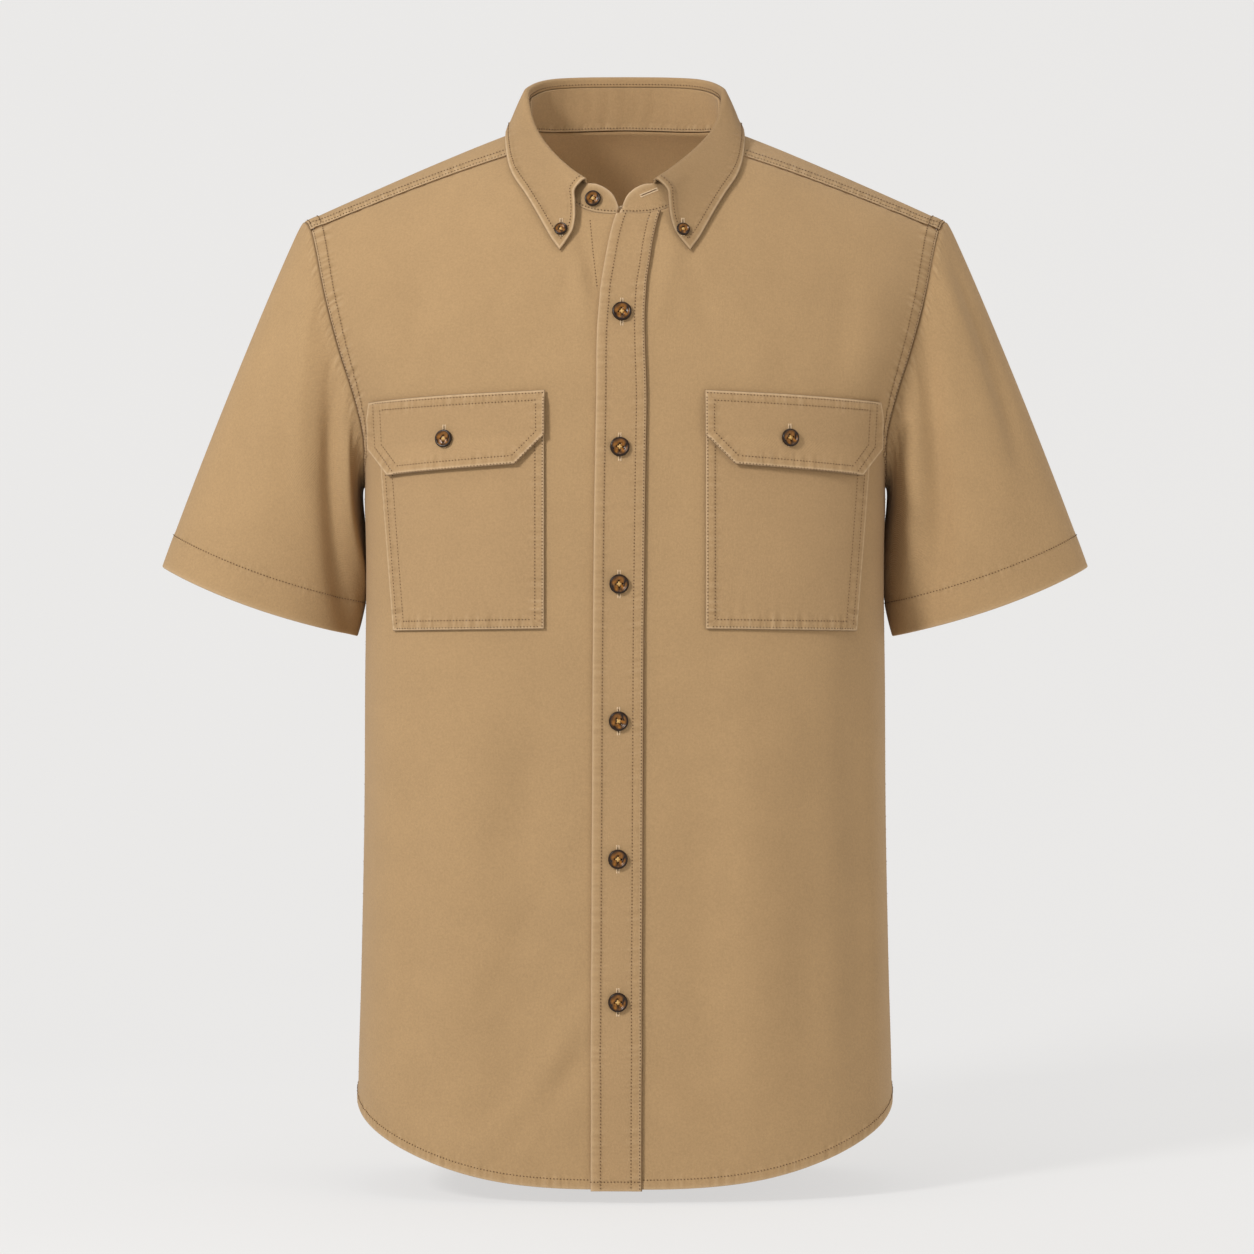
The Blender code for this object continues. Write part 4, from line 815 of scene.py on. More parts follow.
def sleeve_points(which, kappa, along):
    """Points of the sleeve at +X: along is -1 in the seam, 0 just past it and 1 at the cuff."""
    start = armhole_point(kappa)
    slope = SLEEVE_HEAD_SLOPE * np.maximum(np.cos(kappa), 0.0)
    leave = join(np.cos(slope), np.zeros_like(slope), -np.sin(slope))
    start = start + leave * np.where(along < 0, 2 * HALF_GAP, 2 * HALF_GAP + SLEEVE_LIP)[..., None]
    widest = np.array((math.cos(CUFF_TILT), 0, math.sin(CUFF_TILT)))
    down = np.array((math.sin(CUFF_TILT), 0, -math.cos(CUFF_TILT)))
    sine, cosine = np.sin(kappa)[..., None], np.cos(kappa)[..., None]
    end = CUFF_CENTRE + widest * CUFF_HALF_WIDTH * cosine
    end = end + np.array((0, -CUFF_HALF_DEPTH, 0)) * sine + down * CUFF_DROP * sine**2
    leave_length = mix(HEAD_REACH_TOP, HEAD_REACH_FRONT, np.abs(sine))
    arrive_length = mix(CUFF_REACH_UNDER, CUFF_REACH_TOP, (1 + cosine) / 2)
    t = np.maximum(along, 0.0)[..., None]
    b, c = start + leave * leave_length, end - down * arrive_length
    point = start * (1 - t) ** 3 + b * (3 * t * (1 - t) ** 2) + c * (3 * t * t * (1 - t)) + end * t**3
    ends = armhole_point(np.array((0.0, math.pi)))
    axis = (ends[0] + ends[1]) / 2 * np.array((1, 0, 1))
    out = unit(point - mix(axis, CUFF_CENTRE, t))
    return point + out * sleeve_folds(which, kappa, np.maximum(along, 0.0))[..., None]


def make_sleeve(name, wearer_side, cloth):
    along = steps_between(SLEEVE_LENGTH, SLEEVE_STEP, SEAM_STEPS_SLEEVE, CUFF_STEPS)
    along = np.concatenate([[-1.0, 0.0], along[1:]])
    kappa = np.linspace(-math.pi, math.pi, SLEEVE_COLUMNS, endpoint=False)
    which = "left" if wearer_side > 0 else "right"
    points = sleeve_points(which, *np.broadcast_arrays(kappa[None, :], along[:, None]))
    if wearer_side < 0:
        points = points * np.array((-1, 1, 1))
    spread = grid_distances(points)
    around, cuff, head = spread["left"], spread["top"], spread["bottom"]
    relief = sewn_relief(cuff, around, (CUFF_LINE,), CUFF_LINE + CUFF_PAST, 2.0 + wearer_side, 0.0004, 0.0)
    relief = relief + 0.0002 * ripples(around, 0.0125, 1.0) * bell(cuff - CUFF_LINE, 0.008) + rolled_edge(cuff)
    relief = relief + 0.00035 * ripples(around, 0.019, 4.0) * bell(head - 0.010, 0.011) * smooth_step(head / 0.004)
    under_arm = (math.pi - np.abs(kappa[None, :])) * 0.06
    relief = relief - SEAM_DEPTH * bell(under_arm, 0.0015)
    # Painted shade at the cuff stitches and where the head meets the armhole; pale wear with a painted highlight on
    # the cuff's rim
    shaded = 0.15 * bell(cuff - CUFF_LINE, LINE_MARK) + 0.8 * bell(head, 0.0014)
    seams = seam_bands((np.abs(cuff - CUFF_LINE) + LINE_MARK, around, 0.0036, 0.35), (head, around, 0.0050, 0.7))
    wear_and_painted_light = {"wear_and_highlight": rim_wear_and_highlight(cuff), "shaded": shaded, "seams": seams}
    cloth_piece(name, points, relief, PLY, cloth, turn=wearer_side < 0, closed=True, **wear_and_painted_light)


# Collar


def fold_line_point(psi):
    """Where the collar folds over, psi in degrees from the back of the neck."""
    at = np.abs(psi)
    x, y, z = (read_table(FOLD_LINE_ROWS, FOLD_LINE_COLUMNS, "psi", c, at) for c in "xyz")
    opened = smooth_step((at - NECK_OPENS_PSI) / NECK_OPENS_OVER)
    return join(np.sign(psi) * x + OPEN_NECK_SHIFT * opened, y, z)


def neck_outward(psi):
    turn = np.radians(psi)
    along = neck_point(turn + NECK_STEP) - neck_point(turn - NECK_STEP)
    outward = unit(join(along[..., 1], -along[..., 0], 0.0))
    away = neck_point(turn) - NECK_MIDDLE
    return outward * np.sign((outward * away).sum(axis=-1, keepdims=True))


def stand_top(turn):
    psi = turn * 180
    at = np.abs(psi)
    drop = read_table(STAND_DROP_ROWS, STAND_DROP_COLUMNS, "psi", "drop", at)
    under = fold_line_point(psi) - join(0, 0, drop + 2 * HALF_GAP)
    x, y, z = (read_table(STAND_END_ROWS, STAND_END_COLUMNS, "psi", c, at) for c in "xyz")
    end = join(np.sign(psi) * x + OPEN_NECK_SHIFT, y, z - 2 * HALF_GAP)
    return np.where((at <= LEAF_END_PSI)[..., None], under, end)


def make_collar_stand(cloth):
    turns = np.concatenate([-np.linspace(1, 0, 190)[:-1], np.linspace(0, 1, 190)])
    ups = np.array((0.0, 0.03, 0.08, 0.15, 0.24, 0.34, 0.46, 0.58, 0.70, 0.81, 0.89, 0.95, 0.985, 1.0))
    psi = STAND_REACH * turns + NECK_TURN * turns**4
    foot = neck_point(np.radians(psi))[None] + np.array((0, 0, STAND_GAP))
    top = stand_top(turns)[None]
    upright = foot + (top - foot) * np.array((0, 0, STAND_UPRIGHT))
    up = ups[:, None, None]
    points = foot * (1 - up) ** 2 + upright * (2 * up * (1 - up)) + top * up**2
    spread = grid_distances(points)
    ends = np.minimum(spread["left"], spread["right"])
    open_top = smooth_step((np.abs(turns)[None, :] * 180 - LEAF_END_PSI) / 2)
    relief = rolled_edge(ends, 0.0010, 0.0008) + rolled_edge(spread["top"], 0.0010, 0.0008) * open_top
    relief = relief - 0.0002 * bell(spread["bottom"] - EDGE_LINE, LINE_MARK)
    relief = relief + 0.00022 * ripples(spread["left"], 0.017, 2.0) * smooth_step(spread["bottom"] / 0.004)
    # Pale wear with a painted highlight on the rims of the ends, the open top and the foot
    wear_and_highlight = 1.5 * rim_wear_and_highlight(ends) + 1.5 * rim_wear_and_highlight(spread["top"]) * open_top + 0.8 * np.exp(-spread["bottom"] / 0.0010)
    seams = seam_bands((spread["bottom"], spread["left"], 0.0040, 0.7))
    cloth_piece("collar_stand", points, relief, STAND_PLY, cloth, turn=True, wear_and_highlight=wear_and_highlight, seams=seams)


def leaf_points(psi, down):
    """The leaf's lines from its seam over the roll (down below 0) to its outer edge (down 1)."""
    at = np.abs(psi)
    top = fold_line_point(psi)
    outward = neck_outward(psi)
    up = np.array((0, 0, 1.0))
    drop = read_table(STAND_DROP_ROWS, STAND_DROP_COLUMNS, "psi", "drop", at)
    lines = [top - up * (drop * share)[..., None] for share in LEAF_SEAM_SHARES]
    tight = smooth_step((at - ROLL_TIGHTENS_PSI) / ROLL_TIGHTENS_OVER)
    radius = mix(ROLL_RADIUS, ROLL_END_RADIUS, tight)[..., None]
    for degrees in LEAF_ROLL_DEGREES:
        turn = math.radians(degrees)
        lines.append(top + outward * radius * (1 - math.cos(turn)) + up * radius * (math.sin(turn) - 1))
    x, y = (read_table(LEAF_EDGE_ROWS, LEAF_EDGE_COLUMNS, "psi", c, at) for c in "xy")
    x = np.sign(psi) * x
    z = over_shoulder(x, y)
    face = either_side(y, form_normal("front", x, z), form_normal("back", x, z))
    edge = join(x, y, z) + face * (LEAF_LIFT + LEAF_PLY)
    start = lines[-1]
    guide = mix(start, edge, LEAF_GUIDE_AT) + outward * LEAF_GUIDE_OUT + up * LEAF_GUIDE_UP
    weight = smooth_step((at - LEAF_END_PSI + FRONT_EDGE_FADE) / FRONT_EDGE_FADE)
    for t in down:
        bow = read_table(FRONT_EDGE_ROWS, FRONT_EDGE_COLUMNS, "down", "bow", np.array(t)) * weight * np.sign(psi)
        lines.append(start * (1 - t) ** 2 + guide * 2 * t * (1 - t) + edge * t * t - join(bow, 0, 0))
    return np.stack(lines, axis=0)


def patch_shade(away, line):
    """Painted shade at the line of stitches, and a painted shadow right at the edge."""
    return 0.2 * bell(away - line, LINE_MARK) + 1.2 * bell(away, 0.0004)


def make_collar_leaf(cloth):
    half = np.concatenate([np.linspace(0, 150, 140), 150 + (LEAF_END_PSI - 150) * np.linspace(0, 1, 16)[1:] ** 0.7])
    psi = np.concatenate([-half[:0:-1], half])
    roll = LEAF_ROLL_ROWS
    points = leaf_points(psi, steps_between(0.060, 0.0021, (0.0, 0.0012), LEAF_EDGE_STEPS)[1:])
    edge = np.concatenate([points[roll:, 0], points[-1, 1:], points[-1:roll:-1, -1][1:]])
    away, along = polyline_distance(points[roll:], edge)
    away = np.concatenate([np.full((roll, len(psi)), 0.05), away])
    along = np.concatenate([np.repeat(along[:1], roll, axis=0), along])
    relief = sewn_relief(away, along, (LEAF_LINE,), LEAF_LINE + LEAF_PAST, 2.0, 0.0006, 0.00025)
    relief = relief + rolled_edge(away, 0.0012, 0.0009)
    # Pale wear with a painted highlight just inside the rim; painted shade at the stitches and a painted shadow at
    # the edge
    wear_and_highlight = bell(away - 0.0011, 0.0008)
    # The leaf on the wearer's left also gets painted shade, as if turned away from the light
    shaded = patch_shade(away, LEAF_LINE) + 0.45 * smooth_step((psi[None, :] - 40) / 60)
    seams = seam_bands((away, along, LEAF_LINE, 0.35))
    cloth_piece("collar_leaf", points, relief, LEAF_PLY, cloth, wear_and_highlight=wear_and_highlight, shaded=shaded, seams=seams)


# What is sewn on the fronts


def neck_foot_z(x):
    share = np.minimum(np.abs(x) / NECK_HALF_WIDTH, 1.0)
    return neck_point(math.pi - np.arcsin(share ** (NECK_FRONT_POWER / 2)))[..., 2]


def lifted(x, z, lift):
    return form_point("front", x, z) + form_normal("front", x, z) * np.asarray(lift)[..., None]


def placket_edge(z):
    return read_table(PLACKET_ROWS, PLACKET_COLUMNS, "z", "edge_x", z)


def make_placket(cloth):
    fall = steps_between(0.725, 0.0024, (0.0, 0.0006, 0.0014), HEM_STEPS)[:, None]
    share = steps_between(PLACKET_WIDTH, 0.0022, SEAM_STEPS[:8], SEAM_STEPS[:8])[None, :]
    top_x = placket_edge(PLACKET_TOP_Z) + PLACKET_WIDTH * share * PLACKET_NARROW
    foot_z = hem_z("front", 0.0) - 0.0012
    top_z = neck_foot_z(top_x) - 0.0006
    z = mix(top_z, foot_z, fall)
    narrow = mix(PLACKET_NARROW, 1.0, smooth_step((top_z - z) / PLACKET_NECK))
    x = placket_edge(z) + PLACKET_WIDTH * share * narrow
    points = lifted(x, z, np.full(x.shape, PLACKET_LIFT + PLACKET_PLY))
    spread = grid_distances(points)
    left, right, top, fallen = (spread[edge] for edge in ("left", "right", "top", "bottom"))
    relief = 0
    for away, lines, seed in ((left, (WIDE_LINE,), 1.0), (right, (EDGE_LINE, PLACKET_LINE), 6.0)):
        relief = relief + sewn_relief(away, fallen, lines, PLACKET_LINE, seed, 0.0005, 0.00025) + rolled_edge(away)
    relief = relief + rolled_edge(top) - 0.0002 * bell(top - HEM_LINE, 0.0009)
    # Pale wear with a painted highlight on the rims and beside the right edge; painted shade at the stitches and a
    # broad painted shadow along the right edge
    wear_and_highlight = rim_wear_and_highlight(left) + 0.8 * bell(right - 0.0016, 0.0005) + rim_wear_and_highlight(top)
    shaded = 0.2 * (bell(left - WIDE_LINE, LINE_MARK) + bell(right - PLACKET_LINE, LINE_MARK))
    shaded = shaded + 1.8 * bell(right, 0.0009)
    seams = seam_bands((left, fallen, WIDE_LINE, 0.4), (right, fallen, PLACKET_LINE, 0.4))
    cloth_piece("placket", points, relief, PLACKET_PLY, cloth, turn=True, wear_and_highlight=wear_and_highlight, shaded=shaded, seams=seams)


def patch_grid(left, right, share):
    """Places in the front view between two edges, at even steps round the section."""
    start = x_to_share(left[0] / half_width(left[1]))
    end = x_to_share(right[0] / half_width(right[1]))
    z = mix(left[1], right[1], share)
    return half_width(z) * share_to_x(mix(start, end, share)), z


def between(corners, first, second, share):
    return [mix(a, b, share) for a, b in zip(corners[first], corners[second])]


def make_pocket(name, wearer_side, cloth):
    width, length = 0.128, 0.160
    down = steps_between(length, 0.0019, (), SEAM_STEPS[:9])[:, None]
    share = steps_between(width, 0.0019, SEAM_STEPS[:9], SEAM_STEPS[:9])[None, :]
    outer, inner = (between(POCKET, "top_" + end, "bottom_" + end, down) for end in ("outer", "inner"))
    x, z = patch_grid(outer, inner, share)
    points = lifted(x * -wearer_side, z, np.full(x.shape, POCKET_LIFT + POCKET_PLY))
    edge = np.concatenate([points[:, 0], points[-1, 1:], points[-2::-1, -1]])
    away, along = polyline_distance(points, edge)
    spread = grid_distances(points)
    across, fallen, above_foot = spread["left"], spread["bottom"], spread["top"]
    relief = sewn_relief(
        away, along, (EDGE_LINE, WIDE_LINE), WIDE_LINE + PATCH_PAST, 2.0 + wearer_side, 0.0006, 0.0003
    )
    relief = relief + rolled_edge(away, 0.0010, 0.0008)
    low = bell(above_foot - 0.012, 0.014) * smooth_step((away - 0.004) / 0.006)
    relief = relief + 0.00028 * ripples(across, 0.0092, 3.0 + wearer_side) * low
    sag = np.sin(math.pi * np.clip(across / width, 0, 1)) * np.sin(math.pi * np.clip(fallen / length, 0, 1))
    relief = relief + 0.0007 * sag
    low_band = smooth_step((0.030 - above_foot) / 0.012)
    seams = seam_bands((away, along, WIDE_LINE, 0.45 + 0.45 * low_band))
    # Pale wear with a painted highlight inside the rim; painted shade at the stitches and a painted shadow at the
    # edge
    wear_and_painted_light = {"wear_and_highlight": bell(away - 0.0010, 0.0007), "shaded": patch_shade(away, WIDE_LINE), "seams": seams}
    cloth_piece(name, points, relief, POCKET_PLY, cloth, turn=wearer_side < 0, **wear_and_painted_light)


def flap_lift(down):
    over_pocket = POCKET_LIFT + POCKET_PLY + FLAP_LIFT
    return mix(POCKET_LIFT, over_pocket, smooth_step(down / 0.20)) + FLAP_SPRING * down * down + FLAP_PLY


def flap_side(end, down):
    """One side of the flap: down to the cut-off corner, then along it."""
    part = np.clip(down / FLAP_SIDE_AT, 0, 1)
    past = np.clip((down - FLAP_SIDE_AT) / (1 - FLAP_SIDE_AT), 0, 1)
    corners = zip(FLAP["top_" + end], FLAP["side_" + end], FLAP["bottom_" + end])
    return [mix(mix(a, b, part), c, past) for a, b, c in corners]


def make_flap(name, wearer_side, cloth):
    down = steps_between(0.057, 0.0016, SEAM_STEPS[:4], SEAM_STEPS[:5])
    down = np.unique(np.append(down, FLAP_SIDE_AT))[:, None]
    share = steps_between(0.131, 0.0018, SEAM_STEPS[:5], SEAM_STEPS[:5])[None, :]
    x, z = patch_grid(flap_side("outer", down), flap_side("inner", down), share)
    points = lifted(x * -wearer_side, z, np.broadcast_to(flap_lift(down), x.shape))
    edge = np.concatenate([points[:, 0], points[-1, 1:], points[-2::-1, -1], points[0, -2::-1]])
    away, along = polyline_distance(points, edge)
    relief = sewn_relief(away, along, (WIDE_LINE,), WIDE_LINE + PATCH_PAST, 3.0 + wearer_side, 0.0006, 0.0003)
    relief = relief + rolled_edge(away, 0.0011, 0.0009)
    seams = seam_bands((away, along, WIDE_LINE, 0.6))
    # Pale wear with a painted highlight inside the rim; painted shade at the stitches and a painted shadow at the
    # edge
    wear_and_painted_light = {"wear_and_highlight": bell(away - 0.0011, 0.0008), "shaded": patch_shade(away, WIDE_LINE), "seams": seams}
    cloth_piece(name, points, relief, FLAP_PLY, cloth, turn=wearer_side < 0, **wear_and_painted_light)


# Thread


def thread_piece(name, bars, material, radius=THREAD_RADIUS):
    """Many short stitches as one mesh; a bar is its start, its end and the way out of the cloth."""
    start, end, out = (np.array([bar[k] for bar in bars], float) for k in range(3))
    run = end - start
    side = unit(np.cross(run, out)) * radius
    lift = unit(out) * radius
    rings = []
    for share, height in ((0.22, 0.55), (0.78, 0.55)):
        middle = start + run * share + lift * height
        rings.append(np.stack([middle + side, middle + lift * 0.9, middle - side, middle - lift * 0.9], axis=1))
    tips = [(tip - lift * THREAD_SUNK)[:, None] for tip in (start, end)]
    points = np.concatenate([tips[0], *rings, tips[1]], axis=1)
    faces = []
    for k in range(4):
        n = (k + 1) % 4
        faces += [(0, 1 + n, 1 + k), (1 + k, 1 + n, 5 + n, 5 + k), (5 + k, 5 + n, 9)]
    faces = [tuple(i * 10 + v for v in face) for i in range(len(points)) for face in faces]
    mesh = bpy.data.meshes.new(name)
    mesh.from_pydata(points.reshape(-1, 3).tolist(), [], faces)
    mesh.shade_smooth()
    mesh.materials.append(material)
    obj = placed(name, mesh)
    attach(obj, "root")


def stitched_run(points, normals, start_trim=0.0, end_trim=0.0):
    """Stitches of even length along a line on the cloth."""
    lengths = run_lengths(points)

    def at(distance):
        place = np.array([np.interp(distance, lengths, points[:, k]) for k in range(3)])
        out = np.array([np.interp(distance, lengths, normals[:, k]) for k in range(3)])
        return place, out

    bars = []
    count = int((lengths[-1] - start_trim - end_trim) / STITCH_PITCH)
    for i in range(max(count, 0)):
        first = start_trim + i * STITCH_PITCH
        (a, out), (b, _) = at(first), at(first + STITCH_LENGTH)
        bars.append((a, b, out))
    return bars


def edge_run(name, edge, distance, first=0, last=None, inside=None, proud=THREAD_PROUD, **trims):
    """Stitches at one distance from an edge of a panel, a little proud of its face."""
    panel = PANELS[name]
    points, normals, spread = panel["points"], panel["normals"], panel["spread"][edge]
    if edge in ("bottom", "top"):
        points, normals, spread = points.transpose(1, 0, 2), normals.transpose(1, 0, 2), spread.T
    if edge in ("right", "top"):
        points, normals, spread = points[:, ::-1], normals[:, ::-1], spread[:, ::-1]
    if inside is not None:
        normals = -normals
        points = points + normals * inside
    points = points + normals * proud
    line, out = [], []
    for row, normal, away in list(zip(points, normals, spread))[first:last]:
        if away[-1] > distance:
            line.append([np.interp(distance, away, row[:, k]) for k in range(3)])
            out.append([np.interp(distance, away, normal[:, k]) for k in range(3)])
    return stitched_run(np.array(line), np.array(out), **trims)


def inset(corners, distances):
    """A closed outline in the front view with each side moved inwards by its own distance."""
    count = len(corners)
    middle = np.mean(corners, axis=0)
    sides = []
    for i in range(count):
        a, b = np.array(corners[i]), np.array(corners[(i + 1) % count])
        run = (b - a) / np.linalg.norm(b - a)
        inward = np.array((-run[1], run[0]))
        if inward @ (middle - a) < 0:
            inward = -inward
        sides.append((a + inward * distances[i], run))
    result = []
    for i in range(count):
        (a, u), (b, v) = sides[i - 1], sides[i]
        t = np.linalg.solve(np.array([u, -v]).T, b - a)[0]
        result.append(a + u * t)
    return result


def laid_line(name, places):
    """A line given in the front view, laid on the face of a piece."""
    tree = tree_of(name)
    points, normals = [], []
    for (x0, z0), (x1, z1) in zip(places, places[1:]):
        count = max(2, int(math.hypot(x1 - x0, z1 - z0) / 0.002))
        for i in range(count + 1):
            t = i / count
            hit, normal, _, _ = tree.ray_cast(Vector((mix(x0, x1, t), -1, mix(z0, z1, t))), Vector((0, 1, 0)))
            if hit is not None:
                points.append(hit)
                normals.append(normal)
    return np.array(points), np.array(normals)


def patch_bars(name, corners, distances, closed, wearer_side):
    turned = [(x * -wearer_side, z) for x, z in corners]
    line = inset(turned, distances)
    line = line + line[:1] if closed else line
    bars = []
    for a, b in zip(line, line[1:]):
        bars += stitched_run(*laid_line(name, [a, b]))
    return bars


def pocket_bars(name, wearer_side):
    order = ("top_outer", "bottom_outer", "bottom_inner", "top_inner")
    corners = [POCKET[corner] for corner in order]
    bars = []
    for inner in (EDGE_LINE, WIDE_LINE):
        bars += patch_bars(name, corners, (inner, inner, inner, 0.0), False, wearer_side)
    return bars


def edge_runs(name, edges, lines, **options):
    return [bar for edge in edges for line in lines for bar in edge_run(name, edge, line, **options)]


def flap_bars(name, wearer_side):
    order = ("top_outer", "side_outer", "bottom_outer", "bottom_inner", "side_inner", "top_inner")
    corners = [FLAP[corner] for corner in order]
    bars = []
    for line in (WIDE_LINE, EDGE_LINE):
        bars += patch_bars(name, corners, (line,) * len(corners), True, wearer_side)
    return bars


def buttonhole(name, x, z, length, width, tilt):
    """The worked edge of a buttonhole, close small bars on both sides, and between them a line of dark thread as
    painted shade in the slit.
    """
    run = np.array((math.cos(tilt), math.sin(tilt)))
    side = np.array((-run[1], run[0]))
    bars, tree = [], tree_of(name)

    def seat(place):
        hit, normal, _, _ = tree.ray_cast(Vector((place[0], -1, place[1])), Vector((0, 1, 0)))
        return (np.array(hit), np.array(normal)) if hit is not None else (None, None)

    centre = np.array((x, z))
    count = int(length / HOLE_STITCH_PITCH)
    for i in range(count + 1):
        at = centre + run * length * (i / count - 0.5)
        at_end = i in (0, 1, count - 1, count)
        for way in (-1, 1):
            near, far = (0.0 if at_end else HALF_SLIT), width / 2
            (a, out), (b, _) = seat(at + side * way * near), seat(at + side * way * far)
            if a is not None and b is not None:
                bars.append((a, b, out))
    shares = np.linspace(-SLIT_SHARE, SLIT_SHARE, SLIT_STITCHES)
    slit = [seat(centre + run * length * share) for share in shares]
    slit = [(a[0], b[0], a[1]) for a, b in zip(slit, slit[1:]) if a[0] is not None and b[0] is not None]
    return bars, slit


# Buttons


# A button's face from its side to its middle, as shares of its radius: how far out, and how high
BUTTON_PROFILE = (
    *((1.00, 0.20), (0.985, 0.30), (0.95, 0.37), (0.90, 0.41), (0.84, 0.42), (0.77, 0.40)),
    *((0.70, 0.34), (0.64, 0.29), (0.56, 0.265), (0.42, 0.25), (0.22, 0.245)),
)
DISH_HEIGHT, HOLE_SPREAD, HOLE_RADIUS, BUTTON_SEAT = 0.245, 0.31, 0.115, 0.39
BUTTON_THREAD_HEIGHT, BUTTON_THREAD_RADIUS = 0.262, 0.00046


def button_mesh(diameter, material):
    """A four-hole button: a raised rim round a dish, with bored holes, a curved side and a flat back."""
    radius = diameter / 2
    sides, hole_sides = 48, 12
    hole_at, hole_radius = HOLE_SPREAD * radius, HOLE_RADIUS * radius
    centres = [np.array((math.cos(q * math.pi / 2), math.sin(q * math.pi / 2))) * hole_at for q in range(4)]
    flat, heights, dished = [], [], []
    edges = []
    for share, height in BUTTON_PROFILE:
        first = len(flat)
        for k in range(sides):
            turn = 2 * math.pi * k / sides
            flat.append((radius * share * math.cos(turn), radius * share * math.sin(turn)))
            heights.append(height * radius)
            dished.append(smooth_step((0.86 - share) / 0.25))
        if share > 0.5:
            edges += [(first + k, first + (k + 1) % sides) for k in range(sides)]
    for centre in centres:
        for share, drop in ((1.12, 0.0), (0.98, 0.02), (0.84, 0.20), (0.0, 0.20)):
            count = hole_sides if share else 1
            first = len(flat)
            for k in range(count):
                around = 2 * math.pi * k / hole_sides
                flat.append(tuple(centre + np.array((math.cos(around), math.sin(around))) * hole_radius * share))
                heights.append((DISH_HEIGHT - drop) * radius)
                dished.append(1.0)
            if share:
                edges += [(first + k, first + (k + 1) % count) for k in range(count)]
    keep = []
    for i, place in enumerate(flat):
        near = min(math.hypot(place[0] - centre[0], place[1] - centre[1]) for centre in centres)
        ring_point = i < len(BUTTON_PROFILE) * sides
        keep.append(not (ring_point and near < hole_radius * 1.25))
    kept = [i for i, k in enumerate(keep) if k]
    index = {old: new for new, old in enumerate(kept)}
    wanted = [(index[a], index[b]) for a, b in edges if keep[a] and keep[b]]
    verts, _, faces, origin, _, _ = delaunay_2d_cdt([Vector(flat[i]) for i in kept], wanted, [], 0, 1e-7)
    points = [(v.x, v.y, heights[kept[origin[i][0]]]) for i, v in enumerate(verts)]
    dish = [float(dished[kept[origin[i][0]]]) for i in range(len(verts))]
    rim = [i for i, v in enumerate(verts) if abs(v.length - radius) < 1e-6]
    rim.sort(key=lambda i: math.atan2(verts[i].y, verts[i].x))
    faces = [tuple(face) for face in faces]
    ring = rim
    for share, height in ((0.985, 0.12), (0.93, 0.05), (0.80, 0.0)):
        first = len(points)
        for i in rim:
            points.append((verts[i].x * share, verts[i].y * share, height * radius))
            dish.append(0.0)
        below = list(range(first, first + len(rim)))
        faces += [(ring[k], below[k], below[(k + 1) % len(rim)], ring[(k + 1) % len(rim)]) for k in range(len(rim))]
        ring = below
    faces.append(tuple(reversed(ring)))
    mesh = bpy.data.meshes.new("button")
    mesh.from_pydata(points, [], faces)
    mesh.validate()
    mesh.attributes.new("dish", "FLOAT", "POINT").data.foreach_set("value", dish)
    mesh.shade_smooth()
    mesh.materials.append(material)
    return mesh


def seat_on(carrier, x, z, reach):
    """The carrier's face seen from the front: a seat that clears it, and its mean normal."""
    hits, total = [], Vector((0, 0, 0))
    for step_x, step_z in ((0, 0), (reach, 0), (-reach, 0), (0, reach), (0, -reach)):
        hit, normal, _, _ = tree_of(carrier).ray_cast(Vector((x + step_x, -1, z + step_z)), Vector((0, 1, 0)))
        if hit is not None:
            hits.append(hit)
            total += normal
    total.normalize()
    proud = max((hit - hits[0]).dot(total) for hit in hits)
    return hits[0] + total * (max(proud, 0) + 0.0001), total


def make_buttons(horn, thread):
    meshes = {}
    threads = []
    for row in BUTTON_ROWS:
        button = dict(zip(BUTTON_COLUMNS, row))
        size = button["diameter"]
        if size not in meshes:
            meshes[size] = button_mesh(size, horn)
        seat, normal = seat_on(button["carrier"], button["x"], button["z"], size * BUTTON_SEAT)
        obj = placed(button["node"] + "_horn", meshes[size])
        right = Vector((0, 0, 1)).cross(normal).normalized()
        upward = normal.cross(right)
        turn = math.radians(button["turn"])
        across = right * math.cos(turn) + upward * math.sin(turn)
        along = normal.cross(across)
        turned = Matrix((across, along, normal)).transposed().to_4x4()
        obj.matrix_world = Matrix.Translation(seat) @ turned
        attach(obj, "root")
        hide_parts(button["node"])
        reach = HOLE_SPREAD * size / 2
        for way, other, raised in ((across, along, 0.0), (along, across, 0.00012)):
            for shift in (-1, 1):
                offset = other * shift * size * 0.016
                top = seat + normal * (BUTTON_THREAD_HEIGHT * size / 2 + raised)
                ends = [top + way * reach * turned_way + offset - normal * 0.0004 for turned_way in (-1, 1)]
                threads.append((*ends, normal))
    thread_piece("button_thread", threads, thread, BUTTON_THREAD_RADIUS)


# Materials


def node_group(name, inputs, outputs):
    group = bpy.data.node_groups.new(name, "ShaderNodeTree")
    for direction, sockets in (("INPUT", inputs), ("OUTPUT", outputs)):
        for socket, kind in sockets:
            group.interface.new_socket(socket, in_out=direction, socket_type=kind)
    return group, group.nodes.new("NodeGroupInput"), group.nodes.new("NodeGroupOutput")


def feed(tree, target, inputs):
    """Each input is set to a constant or linked from another node's output."""
    for key, value in inputs.items():
        if isinstance(value, bpy.types.NodeSocket):
            tree.links.new(value, target.inputs[key])
        else:
            target.inputs[key].default_value = value


def node(tree, kind, inputs=(), **settings):
    made = tree.nodes.new("ShaderNode" + kind)
    for key, value in settings.items():
        setattr(made, key, value)
    feed(tree, made, dict(inputs))
    return made


def maths(tree, operation, *inputs, **settings):
    return node(tree, "Math", enumerate(inputs), operation=operation, **settings).outputs[0]


